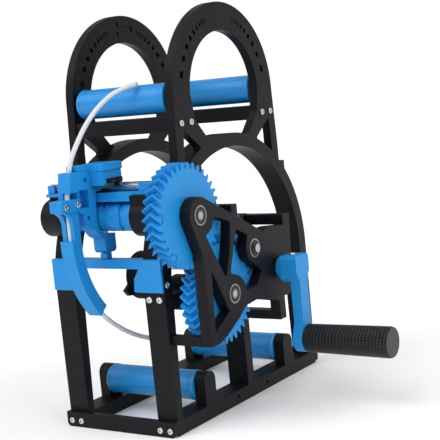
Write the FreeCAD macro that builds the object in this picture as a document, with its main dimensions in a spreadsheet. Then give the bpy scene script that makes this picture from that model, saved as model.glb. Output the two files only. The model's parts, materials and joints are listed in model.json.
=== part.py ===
import FreeCAD, Part
import math
import os
from types import SimpleNamespace
from FreeCAD import Placement, Rotation, Vector

# Filament spool winder with a hand crank, a herringbone gear train and a level wind.
# X runs along the spool, +X on the crank side. Y runs to the back, Z up from the floor.
# The origin is the middle of the base. Outlines of plates are lists of (y, z) points.

os.makedirs("parts", exist_ok=True)
doc = FreeCAD.newDocument("spool_winder")

SIZES = {
    # side frames: rail, two posts and a half ring in one plate
    "frame_width": 114.0,        # over the outer faces of both frames
    "frame_thick": 20.0,
    "ring_radius": 115.0,
    "ring_band": 11.5,
    "ring_height": 119.5,        # centre of the ring
    "post_setback": 0.5,         # foot of the post behind the ring's front
    "post_depth": 7.5,
    "rail_height": 12.0,
    "centre_post_width": 10.0,
    "centre_post_shift": -2.0,
    "web_thick": 12.0,
    "web_band": 12.0,
    "drum_boss_radius": 15.8,
    "drum_block_front": 12.5,    # flat-topped block over the crank side's drum boss, from its axis
    "left_block_front": 2.0,     # the same on the open side, whose boss is round in front
    "drum_block_rear": 9.0,
    "drum_block_top": 18.4,
    "lower_boss_radius": 15.0,
    "compound_boss_radius": 12.4,
    "crank_boss_radius": 14.0,
    "shelf_reach": 88.0,
    "shelf_drop": 1.5,           # shelf's top below the ring's surface at the loop's foot
    "rail_hole_radius": 1.5,
    "rail_hole_spread": 24.0,
    # bars between the two frames
    "bar_depth": 5.5,
    "bar_height": 12.5,
    "bar_corner": 3.5,
    # guide loops on top
    "arch_thick": 8.0,
    "arch_rise": 35.5,           # centre of the loop above the ring's crown
    "loop_radius": 76.7,
    "loop_band": 24.2,
    "foot_spread": 79.1,
    "foot_width": 10.6,
    "foot_rise": 14.0,           # straight part of the loop's foot above the ring
    "slot_count": 10,
    "slot_first": 15.6,          # direction of the lowest slot
    "slot_step": 12.4,           # from the lowest slot to the next
    "slot_closing": 0.81,        # each step against the one before
    "slot_width": 6.2,
    "slot_narrowing": 0.82,
    "slot_length": 4.2,
    "arrow_depth": 1.2,
    "crossbar_height": 12.4,
    "crossbar_drop": 27.6,       # bottom of the crossbar below the loop's centre
    "crossbar_inset": 50.0,
    # rollers
    "roller_radius": 13.0,
    "roller_spread": 65.0,
    "roller_height": 27.6,
    "roller_chamfer": 1.2,
    "lug_thick": 10.5,
    "lug_width": 16.0,
    "lug_crown": 5.0,            # lug's round top above the roller's axis
    "axle_radius": 4.0,
    "lower_seat": 6.0,
    "upper_seat": 5.0,
    # gear train
    "gear_module": 2.25,
    "gear_backlash": 0.3,
    "pressure_angle": 25.0,
    "helix_slope": 0.7,
    "crank_height": 117.1,
    "compound_bearing": 147.27,  # direction from the crank to the compound gear
    "lower_bearing": 220.92,
    "drum_bearing": 118.24,
    "gear_start": 1.4,           # frame to the first gear layer
    "first_layer": 11.0,
    "layer_step": 0.6,
    "second_layer": 15.0,
    "bracket_gap": 0.6,
    "hub_radius": 5.5,
    "shaft_radius": 2.5,
    "spindle_radius": 4.0,
    "bearing_radius": 8.0,
    "bearing_width": 5.0,
    # outer bracket and its spacers
    "bracket_thick": 9.6,
    "bracket_foot": 74.6,
    "drum_eye_radius": 14.5,
    "spacer_rise": 7.8,
    # crank and handle
    "crank_hub_radius": 11.0,
    "crank_hub_corner": 3.0,
    "crank_collar_radius": 9.6,
    "crank_collar_length": 5.0,
    "crank_eye_radius": 11.6,
    "spindle_cover": 2.0,        # arm's wall over the end of the spindle
    "crank_hub_gap": 2.0,
    "crank_hub_length": 11.8,
    "crank_arm_thick": 9.0,
    "crank_throw": 61.1,
    "crank_neck": 13.5,
    "grip_length": 72.0,
    "grip_radius": 12.2,
    "grip_swell": 1.0,
    "cap_length": 6.0,
    # spindle, hub and clamp ring
    "spindle_reach": 60.0,       # left end of the spindle
    "hub_flange_radius": 27.0,
    "thread_radius": 22.5,
    "thread_pitch": 3.76,
    "thread_depth": 1.7,
    "thread_count": 4,
    "clamp_bore": 13.2,
    "wing_reach": 30.0,
    # level wind
    "drum_radius": 11.7,
    "drum_gap": 0.5,
    "guide_rod_radius": 4.0,
    "guide_rod_rise": 24.3,      # rod above the drum's axis
    "stretcher_height": 7.6,
    "stretcher_drop": 3.34,      # stretcher's top below the rod's axis
    "stretcher_half_depth": 9.0,
    "apron_depth": 2.0,          # strip that hangs behind the stretcher
    "apron_drop": 10.7,
    "left_inset": 3.0,           # ends of the rod and the stretcher inside the frame's faces
    "right_inset": 2.5,
    "holder_width": 7.0,
    "right_holder_width": 12.5,
    "holder_crown": 3.4,         # holder's top above the rod's axis
    "follower_radius": 3.0,
    "track_rise": 7.5,
    "track_depth": 10.0,
    "track_drop": 34.1,          # top of the lower rail below the drum's axis
    "track_reach": 2.0,          # front of the lower rail before the ring
    "carriage_left": 9.6,
    "carriage_right": 3.0,
    "carriage_bore": 14.0,       # clear radius round the drum
    "carriage_lift": 1.4,        # carriage's underside above the stretcher
    "carriage_crown": 12.36,     # carriage's top above the rod
    "carriage_chin": 2.6,        # step under the carriage's nose
    "arm_reach": 40.88,          # top of the arm in front of the drum's axis
    "arm_drop": 13.64,
    "arm_radius": 90.0,
    "arm_sweep": 42.2,
    "arm_half_depth": 5.3,
    "tube_radius": 2.0,
    "tube_inset": 6.0,           # tube's plane from the carriage's right face
    "channel_width": 4.6,
    "counter_lift": 3.06,        # counter's underside above the rod's axis
    "counter_width": 12.5,
    "counter_height": 11.5,
    "lid_height": 6.0,
    # screws
    "shank_radius": 1.5,
    "head_radius": 2.75,
    "head_height": 1.65,
    "socket_width": 2.0,
    "screw_length": 14.0,
    # fits
    "running_fit": 0.05,
    "roller_fit": 0.1,
    "face_gap": 0.3,
}

sheet = doc.addObject("Spreadsheet::Sheet", "sizes")
cells = {}


def cell(alias, value):
    """Put one number into the sheet under its alias, and return it."""
    row = len(cells) + 1
    sheet.set(f"A{row}", alias)
    sheet.set(f"B{row}", repr(float(value)))
    sheet.setAlias(f"B{row}", alias)
    cells[alias] = float(value)
    return cells[alias]


for size_name, size_value in SIZES.items():
    cell(size_name, size_value)
doc.recompute()
S = SimpleNamespace(**{name: float(sheet.get(name)) for name in SIZES})

# Places that follow from the sizes, and go into the same sheet.


def polar(start, reach, degrees):
    """Point at a distance and direction from another, in (y, z)."""
    turn = math.radians(degrees)
    return (start[0] + reach * math.cos(turn), start[1] + reach * math.sin(turn))


def offset(point, dy, dz):
    return (point[0] + dy, point[1] + dz)


def axis_cells(name, point):
    cell(name + "_y", point[0])
    cell(name + "_z", point[1])
    return point


UPPER_TEETH = 35
LOWER_TEETH = 35
LARGE_TEETH = 27
SMALL_TEETH = 7
CRANK_TEETH = 11

frame_outer = cell("frame_outer", S.frame_width / 2)
frame_inner = cell("frame_inner", frame_outer - S.frame_thick)
rail_half = cell("rail_half", S.ring_radius - S.post_setback)
post_inner = cell("post_inner", rail_half - S.post_depth)
base_half = cell("base_half", rail_half + S.bar_depth)
ring_inner = cell("ring_inner", S.ring_radius - S.ring_band)
arch_inner = cell("arch_inner", frame_outer - S.arch_thick)
loop_inner = cell("loop_inner", S.loop_radius - S.loop_band)
loop_middle = cell("loop_middle", S.loop_radius - S.loop_band / 2)
lug_inner = cell("lug_inner", frame_outer - S.lug_thick)
roller_half = cell("roller_half", lug_inner - S.face_gap)

crank_axis = axis_cells("crank", (0.0, S.crank_height))
compound_axis = axis_cells(
    "compound",
    polar(crank_axis, S.gear_module * (LARGE_TEETH + CRANK_TEETH) / 2, S.compound_bearing),
)
lower_axis = axis_cells(
    "lower",
    polar(compound_axis, S.gear_module * (LOWER_TEETH + SMALL_TEETH) / 2, S.lower_bearing),
)
drum_axis = axis_cells(
    "drum",
    polar(lower_axis, S.gear_module * (UPPER_TEETH + LOWER_TEETH) / 2, S.drum_bearing),
)
rod_axis = axis_cells("guide_rod", offset(drum_axis, 0, S.guide_rod_rise))

first_start = cell("first_start", frame_outer + S.gear_start)
first_end = cell("first_end", first_start + S.first_layer)
second_start = cell("second_start", first_end + S.layer_step)
second_end = cell("second_end", second_start + S.second_layer)
bracket_start = cell("bracket_start", second_end + S.bracket_gap)
bracket_end = cell("bracket_end", bracket_start + S.bracket_thick)
hub_start = cell("hub_start", bracket_end + S.crank_hub_gap)
arm_start = cell("arm_start", hub_start + S.crank_hub_length)
arm_end = cell("arm_end", arm_start + S.crank_arm_thick)
grip_start = cell("grip_start", arm_end + S.face_gap)
grip_end = cell("grip_end", grip_start + S.grip_length)
handle_axis = axis_cells("handle", offset(crank_axis, 0, -S.crank_throw))
tube_x = cell("tube_x", S.carriage_right - S.tube_inset)
arch_height = cell("arch_height", S.ring_height + S.ring_radius + S.arch_rise)
doc.recompute()

NODES = {}


def keep(label, thing):
    """Remember a finished piece under its node's name."""
    thing.Label = label
    NODES[label] = thing
    return thing


# Sketch and feature helpers.


def new_body(label):
    return doc.addObject("PartDesign::Body", label)


def add_outline(sketch, path):
    """Closed outline from points, and arcs written as ("arc", middle, end)."""
    here = path[0]
    for step in path[1:] + [path[0]]:
        if step[0] == "arc":
            ends = [Vector(*here), Vector(*step[1]), Vector(*step[2])]
            sketch.addGeometry(Part.Arc(*ends))
            here = step[2]
        elif math.dist(here, step) > 1e-6:
            sketch.addGeometry(Part.LineSegment(Vector(*here), Vector(*step)))
            here = step


def add_circle(sketch, centre, radius):
    up = Vector(0, 0, 1)
    sketch.addGeometry(Part.Circle(Vector(centre[0], centre[1], 0), up, radius))


def new_sketch(body, plane, start, shapes):
    """Sketch on one of the body's own planes, moved along its normal by an expression."""
    sketch = body.newObject("Sketcher::SketchObject", body.Name + "_sketch")
    support = [f for f in body.Origin.OriginFeatures if f.Role == plane][0]
    sketch.AttachmentSupport = (support, [""])
    sketch.MapMode = "FlatFace"
    sketch.setExpression("AttachmentOffset.Base.z", start)
    for shape in shapes:
        if shape[0] == "circle":
            add_circle(sketch, shape[1], shape[2])
        else:
            add_outline(sketch, shape)
    return sketch


def pad(body, start, length, shapes, plane="YZ_Plane"):
    feature = body.newObject("PartDesign::Pad", body.Name + "_pad")
    feature.Profile = new_sketch(body, plane, start, shapes)
    feature.setExpression("Length", length)
    return feature


def pocket(body, start, depth, shapes, plane="YZ_Plane", along_normal=False):
    """Cut against the plane's normal, or along it."""
    feature = body.newObject("PartDesign::Pocket", body.Name + "_pocket")
    feature.Profile = new_sketch(body, plane, start, shapes)
    feature.setExpression("Length", depth)
    feature.Reversed = along_normal
    return feature


def turn(body, profile):
    """Solid of revolution about the X axis from (x, radius) points."""
    feature = body.newObject("PartDesign::Revolution", body.Name + "_turned")
    sketch = new_sketch(body, "XZ_Plane", "0 mm", [profile])
    feature.Profile = sketch
    feature.ReferenceAxis = (sketch, ["H_Axis"])
    feature.Angle = 360
    return feature


def place(thing, axis):
    """Move a piece that is turned about X onto a named axis."""
    thing.setExpression("Placement.Base.y", f"sizes.{axis}_y")
    thing.setExpression("Placement.Base.z", f"sizes.{axis}_z")
    return thing


def cylinder(label, radius, start, length, axis):
    """Round bar along X on a named axis."""
    bar = doc.addObject("Part::Cylinder", label)
    bar.Placement = Placement(Vector(), Rotation(Vector(0, 1, 0), 90))
    bar.setExpression("Radius", radius)
    bar.setExpression("Height", length)
    bar.setExpression("Placement.Base.x", start)
    return place(bar, axis)


def box(label, low, high):
    block = doc.addObject("Part::Box", label)
    block.Length = high[0] - low[0]
    block.Width = high[1] - low[1]
    block.Height = high[2] - low[2]
    block.Placement.Base = Vector(*low)
    return block


def cut(label, base, tools):
    """Base without all the tools."""
    fused = tools[0]
    if len(tools) > 1:
        fused = doc.addObject("Part::MultiFuse", label + "_tools")
        fused.Shapes = tools
    result = doc.addObject("Part::Cut", label)
    result.Base = base
    result.Tool = fused
    return result


def fuse(label, pieces):
    result = doc.addObject("Part::MultiFuse", label)
    result.Shapes = pieces
    return result


def solid(label, shape):
    """Piece that is built from shapes directly."""
    thing = doc.addObject("Part::Feature", label)
    thing.Shape = shape
    return thing


def group(label, shapes):
    return keep(label, solid(label, Part.makeCompound(shapes)))


def bar_outline(start, end, width):
    """Rectangle along a line."""
    reach = math.dist(start, end)
    side = (-(end[1] - start[1]) / reach * width / 2, (end[0] - start[0]) / reach * width / 2)
    return [
        offset(start, side[0], side[1]),
        offset(start, -side[0], -side[1]),
        offset(end, -side[0], -side[1]),
        offset(end, side[0], side[1]),
    ]


def rectangle(y0, z0, y1, z1):
    return [(y0, z0), (y1, z0), (y1, z1), (y0, z1)]


def mirrored(path):
    """The same outline on the other side of the middle plane."""
    flipped = []
    for step in path:
        if step[0] == "arc":
            flipped.append(("arc", (-step[1][0], step[1][1]), (-step[2][0], step[2][1])))
        else:
            flipped.append((-step[0], step[1]))
    return flipped


def ring_z(y):
    """Height of the ring's outer surface."""
    return S.ring_height + math.sqrt(S.ring_radius**2 - y**2)


# Places shared by the frame, the spacers and the bracket, as (y0, z0, y1, z1).
SPACER_DEPTH = 8.5
spacer_places = [
    (-(S.ring_radius - 3.5), S.bracket_foot, -(S.ring_radius - 10), S.bracket_foot + S.spacer_rise),
    (
        drum_axis[0] + 43.4,
        drum_axis[1] - 6.6,
        drum_axis[0] + 43.4 + SPACER_DEPTH,
        drum_axis[1] - 6.6 + SPACER_DEPTH,
    ),
    (12.0, crank_axis[1] + 34.9, 22.0, crank_axis[1] + 43.7),
    (-5.0, crank_axis[1] - 45.1, 5.0, crank_axis[1] - 45.1 + S.spacer_rise),
]
front_foot, front_top, rear_top, rear_foot = spacer_places


def middle(place_box):
    return ((place_box[0] + place_box[2]) / 2, (place_box[1] + place_box[3]) / 2)


# Screw places.
base_screw_x = [frame_outer - S.frame_thick / 4, frame_outer - S.frame_thick * 3 / 4]
base_screw_z = S.bar_height * 0.4
arch_screw_y = [S.crossbar_inset + 6.0, S.crossbar_inset + 20.0]
arch_screw_z = arch_height - S.crossbar_drop + S.crossbar_height / 2
post_screw_z = crank_axis[1] - 5.1
post_side_screw = (-(S.ring_radius - 4.0), S.ring_height + 4.1)
screw_hole = cell("screw_hole", S.shank_radius + S.roller_fit)
head_seat = cell("head_seat", S.head_radius + S.face_gap)


# Side frames.


def side_outline():
    crown = ("arc", (0, S.ring_height + S.ring_radius), (-S.ring_radius, S.ring_height))
    return [
        (-rail_half, 0),
        (rail_half, 0),
        (rail_half, S.bar_height),
        (S.ring_radius, S.ring_height),
        crown,
        (-rail_half, S.bar_height),
    ]


def side_opening():
    crown = ("arc", (0, S.ring_height + ring_inner), (-ring_inner, S.ring_height))
    return [
        (-post_inner, S.rail_height),
        (post_inner, S.rail_height),
        (ring_inner, S.ring_height),
        crown,
    ]


def roller_lug():
    half = S.lug_width / 2
    crown_z = S.roller_height + S.lug_crown
    y = S.roller_spread
    return [
        (y - half, S.rail_height / 2),
        (y + half, S.rail_height / 2),
        (y + half, crown_z),
        ("arc", (y, crown_z + half), (y - half, crown_z)),
    ]


def shelf():
    """Ledge on the ring's shoulder, beside the arch's foot."""
    top = ring_z(S.foot_spread) - S.shelf_drop
    return [
        (S.foot_spread, top - 11),
        (S.shelf_reach, top - 18),
        (S.shelf_reach, top),
        (S.foot_spread, top),
    ]


def side_frame(label, side):
    """Frame on the crank side (side 1) or the open side (side -1)."""
    right = side > 0
    body = new_body(label)
    start = "sizes.frame_inner" if right else "-sizes.frame_outer"
    pad(body, start, "sizes.frame_thick", [side_outline(), side_opening()])
    for ledge in (shelf(), mirrored(shelf())):
        pad(body, start, "sizes.frame_thick", [ledge])
    inward = (0, S.ring_height)
    reach = math.dist(drum_axis, inward) - S.ring_radius + S.ring_band / 2
    share = reach / math.dist(drum_axis, inward)
    root = (drum_axis[0] * (1 - share), drum_axis[1] + (inward[1] - drum_axis[1]) * share)
    pad(body, start, "sizes.frame_thick", [bar_outline(drum_axis, root, S.drum_boss_radius)])
    pad(body, start, "sizes.frame_thick", [("circle", drum_axis, S.drum_boss_radius)])
    block_front = S.drum_block_front if right else S.left_block_front
    block = rectangle(
        drum_axis[0] - block_front, drum_axis[1],
        drum_axis[0] + S.drum_block_rear, drum_axis[1] + S.drum_block_top)
    pad(body, start, "sizes.frame_thick", [block])
    lug_start = "sizes.lug_inner" if right else "-sizes.frame_outer"
    for lug in (roller_lug(), mirrored(roller_lug())):
        pad(body, lug_start, "sizes.lug_thick", [lug])
    if right:
        gear_web(body)
    outer_face = "sizes.frame_outer" if right else "-sizes.frame_outer"
    inner_face = "sizes.lug_inner" if right else "-sizes.lug_inner"
    seats = [("circle", (y, S.roller_height), S.axle_radius + S.running_fit)
             for y in (-S.roller_spread, S.roller_spread)]
    pocket(body, inner_face, "sizes.lower_seat", seats, along_normal=right)
    axes = [drum_axis, lower_axis, compound_axis, crank_axis] if right else [drum_axis]
    bores = [("circle", axis, S.shaft_radius + 0.8) for axis in axes[:3]]
    bores += [("circle", axis, S.spindle_radius + 0.8) for axis in axes[3:]]
    pocket(body, outer_face, "sizes.frame_thick", bores, along_normal=not right)
    races = [("circle", axis, S.bearing_radius + S.running_fit) for axis in axes]
    pocket(body, outer_face, "sizes.bearing_width", races, along_normal=not right)
    holes = [("circle", (y, S.rail_height * 0.53), S.rail_hole_radius)
             for y in (-S.rail_hole_spread, S.rail_hole_spread)]
    pocket(body, outer_face, "sizes.frame_thick", holes, along_normal=not right)
    ends = [("circle", (side * x, base_screw_z), screw_hole) for x in base_screw_x]
    pocket(body, "sizes.rail_half", "sizes.screw_length", ends, "XZ_Plane")
    pocket(body, "-sizes.rail_half", "sizes.screw_length", ends, "XZ_Plane", True)
    if right:
        fronts = [("circle", (x, post_screw_z), screw_hole) for x in base_screw_x]
        pocket(body, "sizes.ring_radius + 1", "sizes.post_depth", fronts, "XZ_Plane")
        side_hole = ("circle", post_side_screw, screw_hole)
        pocket(body, outer_face, "sizes.screw_length", [side_hole])
    return keep(label, body)


def gear_web(body):
    """Centre post and bearing web on the crank side's frame."""
    post_y = S.centre_post_shift
    half = S.centre_post_width / 2
    post = rectangle(post_y - half, S.rail_height / 2, post_y + half, crank_axis[1])
    pad(body, "sizes.frame_inner", "sizes.frame_thick", [post])
    bosses = [
        ("circle", lower_axis, S.lower_boss_radius),
        ("circle", crank_axis, S.crank_boss_radius),
    ]
    for boss in bosses:
        pad(body, "sizes.frame_inner", "sizes.frame_thick", [boss])
    web_start = "sizes.frame_outer - sizes.web_thick"
    pad(body, web_start, "sizes.web_thick", [("circle", compound_axis, S.compound_boss_radius)])
    front_post = (-(ring_inner + 3), lower_axis[1] - 1.3)
    low_start = offset(lower_axis, 0, -5.8)
    low_end = offset(crank_axis, -4, -10)
    arms = [
        (front_post, lower_axis),
        (lower_axis, compound_axis),
        (compound_axis, crank_axis),
        (low_start, low_end),
        (compound_axis, middle(rear_top)),
        (crank_axis, middle(rear_top)),
    ]
    for arm_from, arm_to in arms:
        outline = bar_outline(arm_from, arm_to, S.web_band)
        pad(body, web_start, "sizes.web_thick", [outline])
    pad(body, web_start, "sizes.web_thick", [rectangle(*rear_top)])
    ring_side_y = math.sqrt(ring_inner**2 - (front_top[1] - S.ring_height) ** 2) + 3
    ring_side = (-ring_side_y, front_top[1], front_top[2], front_top[3])
    pad(body, web_start, "sizes.web_thick", [rectangle(*ring_side)])


side_frame("right_side_frame", 1)
side_frame("left_side_frame", -1)


# Guide loops above the frames.


def loop_slots():
    """Slots that get smaller from the shoulder of the loop to its top."""
    slots = []
    angle = S.slot_first
    step = S.slot_step
    across = S.slot_width
    for _ in range(int(S.slot_count)):
        centre = (0, arch_height)
        inner = polar(centre, loop_middle - S.slot_length / 2, angle)
        outer = polar(centre, loop_middle + S.slot_length / 2, angle)
        slot = bar_outline(inner, outer, across)
        slots += [slot, mirrored(slot)]
        angle += step
        step *= S.slot_closing
        across *= S.slot_narrowing
    return slots


def arch_outline():
    """Inverted U with two legs and two inner struts that end on the ring."""
    foot_in = S.foot_spread - S.foot_width
    node = arch_height - 27
    strut_low = 27.5
    strut_high = 45.0

    def on_ring(y):
        return (y, ring_z(y))

    half = [
        (S.loop_radius, arch_height),
        (S.foot_spread, ring_z(S.foot_spread) + S.foot_rise),
        on_ring(S.foot_spread),
        ("arc", on_ring(S.foot_spread - S.foot_width / 2), on_ring(foot_in)),
        (foot_in, ring_z(foot_in) + 17),
        (foot_in - 1.5, node),
        (strut_high, ring_z(strut_high) + 1.7),
        on_ring(strut_high),
        ("arc", on_ring((strut_low + strut_high) / 2), on_ring(strut_low)),
        (33.0, ring_z(33.0) + 3.3),
        (loop_inner - 3.5, arch_height - 20),
        (loop_inner, arch_height),
    ]
    crown_in = ("arc", (0, arch_height + loop_inner), (-loop_inner, arch_height))
    crown_out = ("arc", (0, arch_height + S.loop_radius), (S.loop_radius, arch_height))
    other = [
        (-loop_inner + 3.5, arch_height - 20),
        (-33.0, ring_z(33.0) + 3.3),
        (-strut_low, ring_z(strut_low)),
        ("arc", mirrored([on_ring((strut_low + strut_high) / 2)])[0], mirrored([on_ring(strut_high)])[0]),
        (-strut_high, ring_z(strut_high) + 1.7),
        (-foot_in + 1.5, node),
        (-foot_in, ring_z(foot_in) + 17),
        (-foot_in, ring_z(foot_in)),
        ("arc", mirrored([on_ring(S.foot_spread - S.foot_width / 2)])[0],
         (-S.foot_spread, ring_z(S.foot_spread))),
        (-S.foot_spread, ring_z(S.foot_spread) + S.foot_rise),
        (-S.loop_radius, arch_height),
        crown_out,
    ]
    return half + [crown_in] + other


def arrow_outline():
    """Plain arrow on the inner face of the open side's loop."""
    points = [
        (-13, 64.7), (-4.5, 72), (-4.5, 67.4), (15.7, 67.4),
        (15.7, 62), (-4.5, 62), (-4.5, 57.4)]
    return [(y, arch_height + z) for y, z in points]


def arch(label, side):
    right = side > 0
    body = new_body(label)
    start = "sizes.arch_inner" if right else "-sizes.frame_outer"
    pad(body, start, "sizes.arch_thick", [arch_outline()])
    outer_face = "sizes.frame_outer" if right else "-sizes.frame_outer"
    inner_face = "sizes.arch_inner" if right else "-sizes.arch_inner"
    pocket(body, outer_face, "sizes.arch_thick", loop_slots(), along_normal=not right)
    screws = [("circle", (flip * y, arch_screw_z), screw_hole)
              for flip in (-1, 1) for y in arch_screw_y]
    pocket(body, outer_face, "sizes.arch_thick", screws, along_normal=not right)
    seats = [("circle", (y, arch_height), S.axle_radius + S.running_fit)
             for y in (-loop_middle, loop_middle)]
    pocket(body, inner_face, "sizes.upper_seat", seats, along_normal=right)
    if not right:
        pocket(body, inner_face, "sizes.arrow_depth", [arrow_outline()])
    return keep(label, body)


arch("right_arch", 1)
arch("left_arch", -1)


# Bars between the frames. The rear one is the front one turned half round.


def turned_about(thing, half_turn):
    if half_turn:
        thing.Placement = Placement(Vector(), Rotation(Vector(0, 0, 1), 180))
    return thing


def base_bar(label, half_turn):
    body = new_body(label)
    corner = S.bar_corner
    diagonal = corner * (1 - math.sqrt(0.5))
    outline = [
        (-frame_outer + corner, 0),
        (frame_outer - corner, 0),
        ("arc", (frame_outer - diagonal, diagonal), (frame_outer, corner)),
        (frame_outer, S.bar_height),
        (-frame_outer, S.bar_height),
        (-frame_outer, corner),
        ("arc", (-frame_outer + diagonal, diagonal), (-frame_outer + corner, 0)),
    ]
    pad(body, "sizes.rail_half", "sizes.bar_depth", [outline], "XZ_Plane")
    places = [(flip * x, base_screw_z) for flip in (-1, 1) for x in base_screw_x]
    shanks = [("circle", point, screw_hole) for point in places]
    heads = [("circle", point, head_seat) for point in places]
    pocket(body, "sizes.base_half", "sizes.bar_depth", shanks, "XZ_Plane")
    pocket(body, "sizes.base_half", "sizes.head_height", heads, "XZ_Plane")
    return keep(label, turned_about(body, half_turn))


def crossbar(label, half_turn):
    body = new_body(label)
    low = arch_height - S.crossbar_drop
    profile = rectangle(-S.loop_radius + 0.2, low, -S.crossbar_inset, low + S.crossbar_height)
    pad(body, "-sizes.arch_inner", "2 * sizes.arch_inner", [profile])
    holes = [("circle", (-y, arch_screw_z), screw_hole) for y in arch_screw_y]
    pocket(body, "sizes.arch_inner", "sizes.screw_length", holes)
    pocket(body, "-sizes.arch_inner", "sizes.screw_length", holes, along_normal=True)
    return keep(label, turned_about(body, half_turn))


base_bar("base_bar_front", False)
base_bar("base_bar_rear", True)
crossbar("arch_crossbar_front", False)
crossbar("arch_crossbar_rear", True)


# Rollers and their fixed axles in blind holes.
ROLLER_PLACES = {
    "roller_lower_front": (-S.roller_spread, S.roller_height),
    "roller_lower_rear": (S.roller_spread, S.roller_height),
    "roller_upper_front": (-loop_middle, arch_height),
    "roller_upper_rear": (loop_middle, arch_height),
}


def roller(label, point):
    axis_cells(label, point)
    sheet.recompute()
    body = new_body(label)
    bore = S.axle_radius + S.roller_fit
    rim = S.roller_radius - S.roller_chamfer
    groove = roller_half - 4
    profile = [
        (-roller_half, bore),
        (-roller_half, rim),
        (-roller_half + S.roller_chamfer, S.roller_radius),
        (-groove - 0.6, S.roller_radius),
        (-groove, S.roller_radius - 0.5),
        (groove, S.roller_radius - 0.5),
        (groove + 0.6, S.roller_radius),
        (roller_half - S.roller_chamfer, S.roller_radius),
        (roller_half, rim),
        (roller_half, bore),
    ]
    turn(body, profile)
    return keep(label, place(body, label))


for roller_label, roller_point in ROLLER_PLACES.items():
    roller(roller_label, roller_point)


def round_bar(radius, x0, x1, axis):
    """Round bar along X as a plain shape."""
    return Part.makeCylinder(radius, x1 - x0, Vector(x0, axis[0], axis[1]), Vector(1, 0, 0))


axles = []
for roller_label, roller_point in ROLLER_PLACES.items():
    if "lower" in roller_label:
        axle_half = lug_inner + S.lower_seat - S.face_gap
    else:
        axle_half = arch_inner + S.upper_seat - S.face_gap
    axles.append(round_bar(S.axle_radius, -axle_half, axle_half, roller_point))
group("roller_axles", axles)


# Screws.


def screw(point, direction, length, shank=None):
    """Button-head screw whose head stands on the point, its shank along the direction."""
    head = Part.makeCylinder(S.head_radius, S.head_height)
    corners = [polar((0, 0), S.socket_width / math.sqrt(3), 60 * k) for k in range(7)]
    hexagon = Part.Face(Part.makePolygon([Vector(y, z, S.head_height / 2) for y, z in corners]))
    body = Part.makeCylinder(shank or S.shank_radius, length, Vector(0, 0, -length))
    shape = head.fuse(body).removeSplitter().cut(hexagon.extrude(Vector(0, 0, S.head_height)))
    shape.Placement = Placement(Vector(*point), Rotation(Vector(0, 0, -1), Vector(*direction)))
    return shape


base_screws = []
for flip_x in (-1, 1):
    for flip_y in (-1, 1):
        for screw_x in base_screw_x:
            seat = (flip_x * screw_x, flip_y * (base_half - S.head_height), base_screw_z)
            length = S.bar_depth - S.head_height + S.screw_length - 1
            base_screws.append(screw(seat, (0, -flip_y, 0), length))
group("base_screws", base_screws)

arch_screws = []
for flip_x in (-1, 1):
    for flip_y in (-1, 1):
        for screw_y in arch_screw_y:
            seat = (flip_x * frame_outer, flip_y * screw_y, arch_screw_z)
            length = S.arch_thick + S.screw_length - 1
            arch_screws.append(screw(seat, (-flip_x, 0, 0), length))
group("arch_screws", arch_screws)

post_front = S.ring_radius - S.post_setback * (S.ring_height - post_screw_z) / (
    S.ring_height - S.bar_height)
post_screws = [screw((x, -post_front - 0.02, post_screw_z), (0, 1, 0), S.post_depth - 1.2)
               for x in base_screw_x]
side_seat = (frame_outer, post_side_screw[0], post_side_screw[1])
post_screws.append(screw(side_seat, (-1, 0, 0), S.screw_length - 1))
group("post_screws", post_screws)


# Outer gear bracket on four spacers.


def bracket_outline():
    front = -(S.ring_radius - 3.5)
    return [
        (front, S.bracket_foot),
        (front, drum_axis[1] - 30.6),
        offset(drum_axis, -13.1, -6.1),
        offset(drum_axis, 6.9, 12.7),
        offset(drum_axis, 42.9, -4.4),
        (front_top[0], front_top[3]),
        (front_top[2], front_top[3]),
        (front_top[2], front_top[1] - 2.3),
        offset(compound_axis, 15, 11.6),
        offset(crank_axis, -15, 37.3),
        offset(crank_axis, -9, 37.2),
        (rear_top[0], crank_axis[1] + 34.9),
        (rear_top[0], rear_top[3]),
        (rear_top[2] + 2, rear_top[3]),
        offset(crank_axis, 22, 10.9),
        offset(crank_axis, 17.4, -19.5),
        offset(crank_axis, 15.4, -26.1),
        (rear_foot[2], crank_axis[1] - 26.1),
        (rear_foot[2], rear_foot[1]),
        (rear_foot[0], rear_foot[1]),
        (rear_foot[0], crank_axis[1] - 28.5),
        offset(crank_axis, -15.3, -25.6),
        offset(lower_axis, 33, -11.8),
        offset(lower_axis, 15.5, -13),
        offset(lower_axis, 3.4, -21),
        offset(lower_axis, -16.2, -31.1),
        (front + 12.8, S.bracket_foot),
    ]


def bracket_windows():
    upper = [
        offset(drum_axis, 17.9, -3.6),
        offset(drum_axis, 39.4, -11.1),
        offset(compound_axis, -37.6, 4.8),
        offset(lower_axis, -8.8, 17.7),
        offset(lower_axis, -10.9, 15.7),
        offset(drum_axis, 11.9, -29.2),
        offset(drum_axis, 4.9, -16.6),
        ("arc", offset(drum_axis, 13.1, -12), offset(drum_axis, 17.9, -3.6)),
    ]
    inner = [
        offset(compound_axis, -25.7, 20),
        offset(compound_axis, -10, 12.6),
        offset(compound_axis, -13.6, 2.3),
        offset(compound_axis, -11.3, -6.5),
        offset(compound_axis, 7.7, -20.2),
        offset(compound_axis, -0.6, -30.5),
        offset(lower_axis, 17.7, -0.9),
        ("arc", offset(lower_axis, 12.6, 10.4), offset(lower_axis, 1.7, 15.2)),
        offset(lower_axis, -3.2, 18.2),
    ]
    front = -(S.ring_radius - 11.5)
    lower = [
        (front + 2.3, lower_axis[1] + 24.2),
        (front, S.bracket_foot + 10.4),
        offset(lower_axis, -9.8, -12.3),
    ]
    return [upper, inner, lower]


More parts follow.
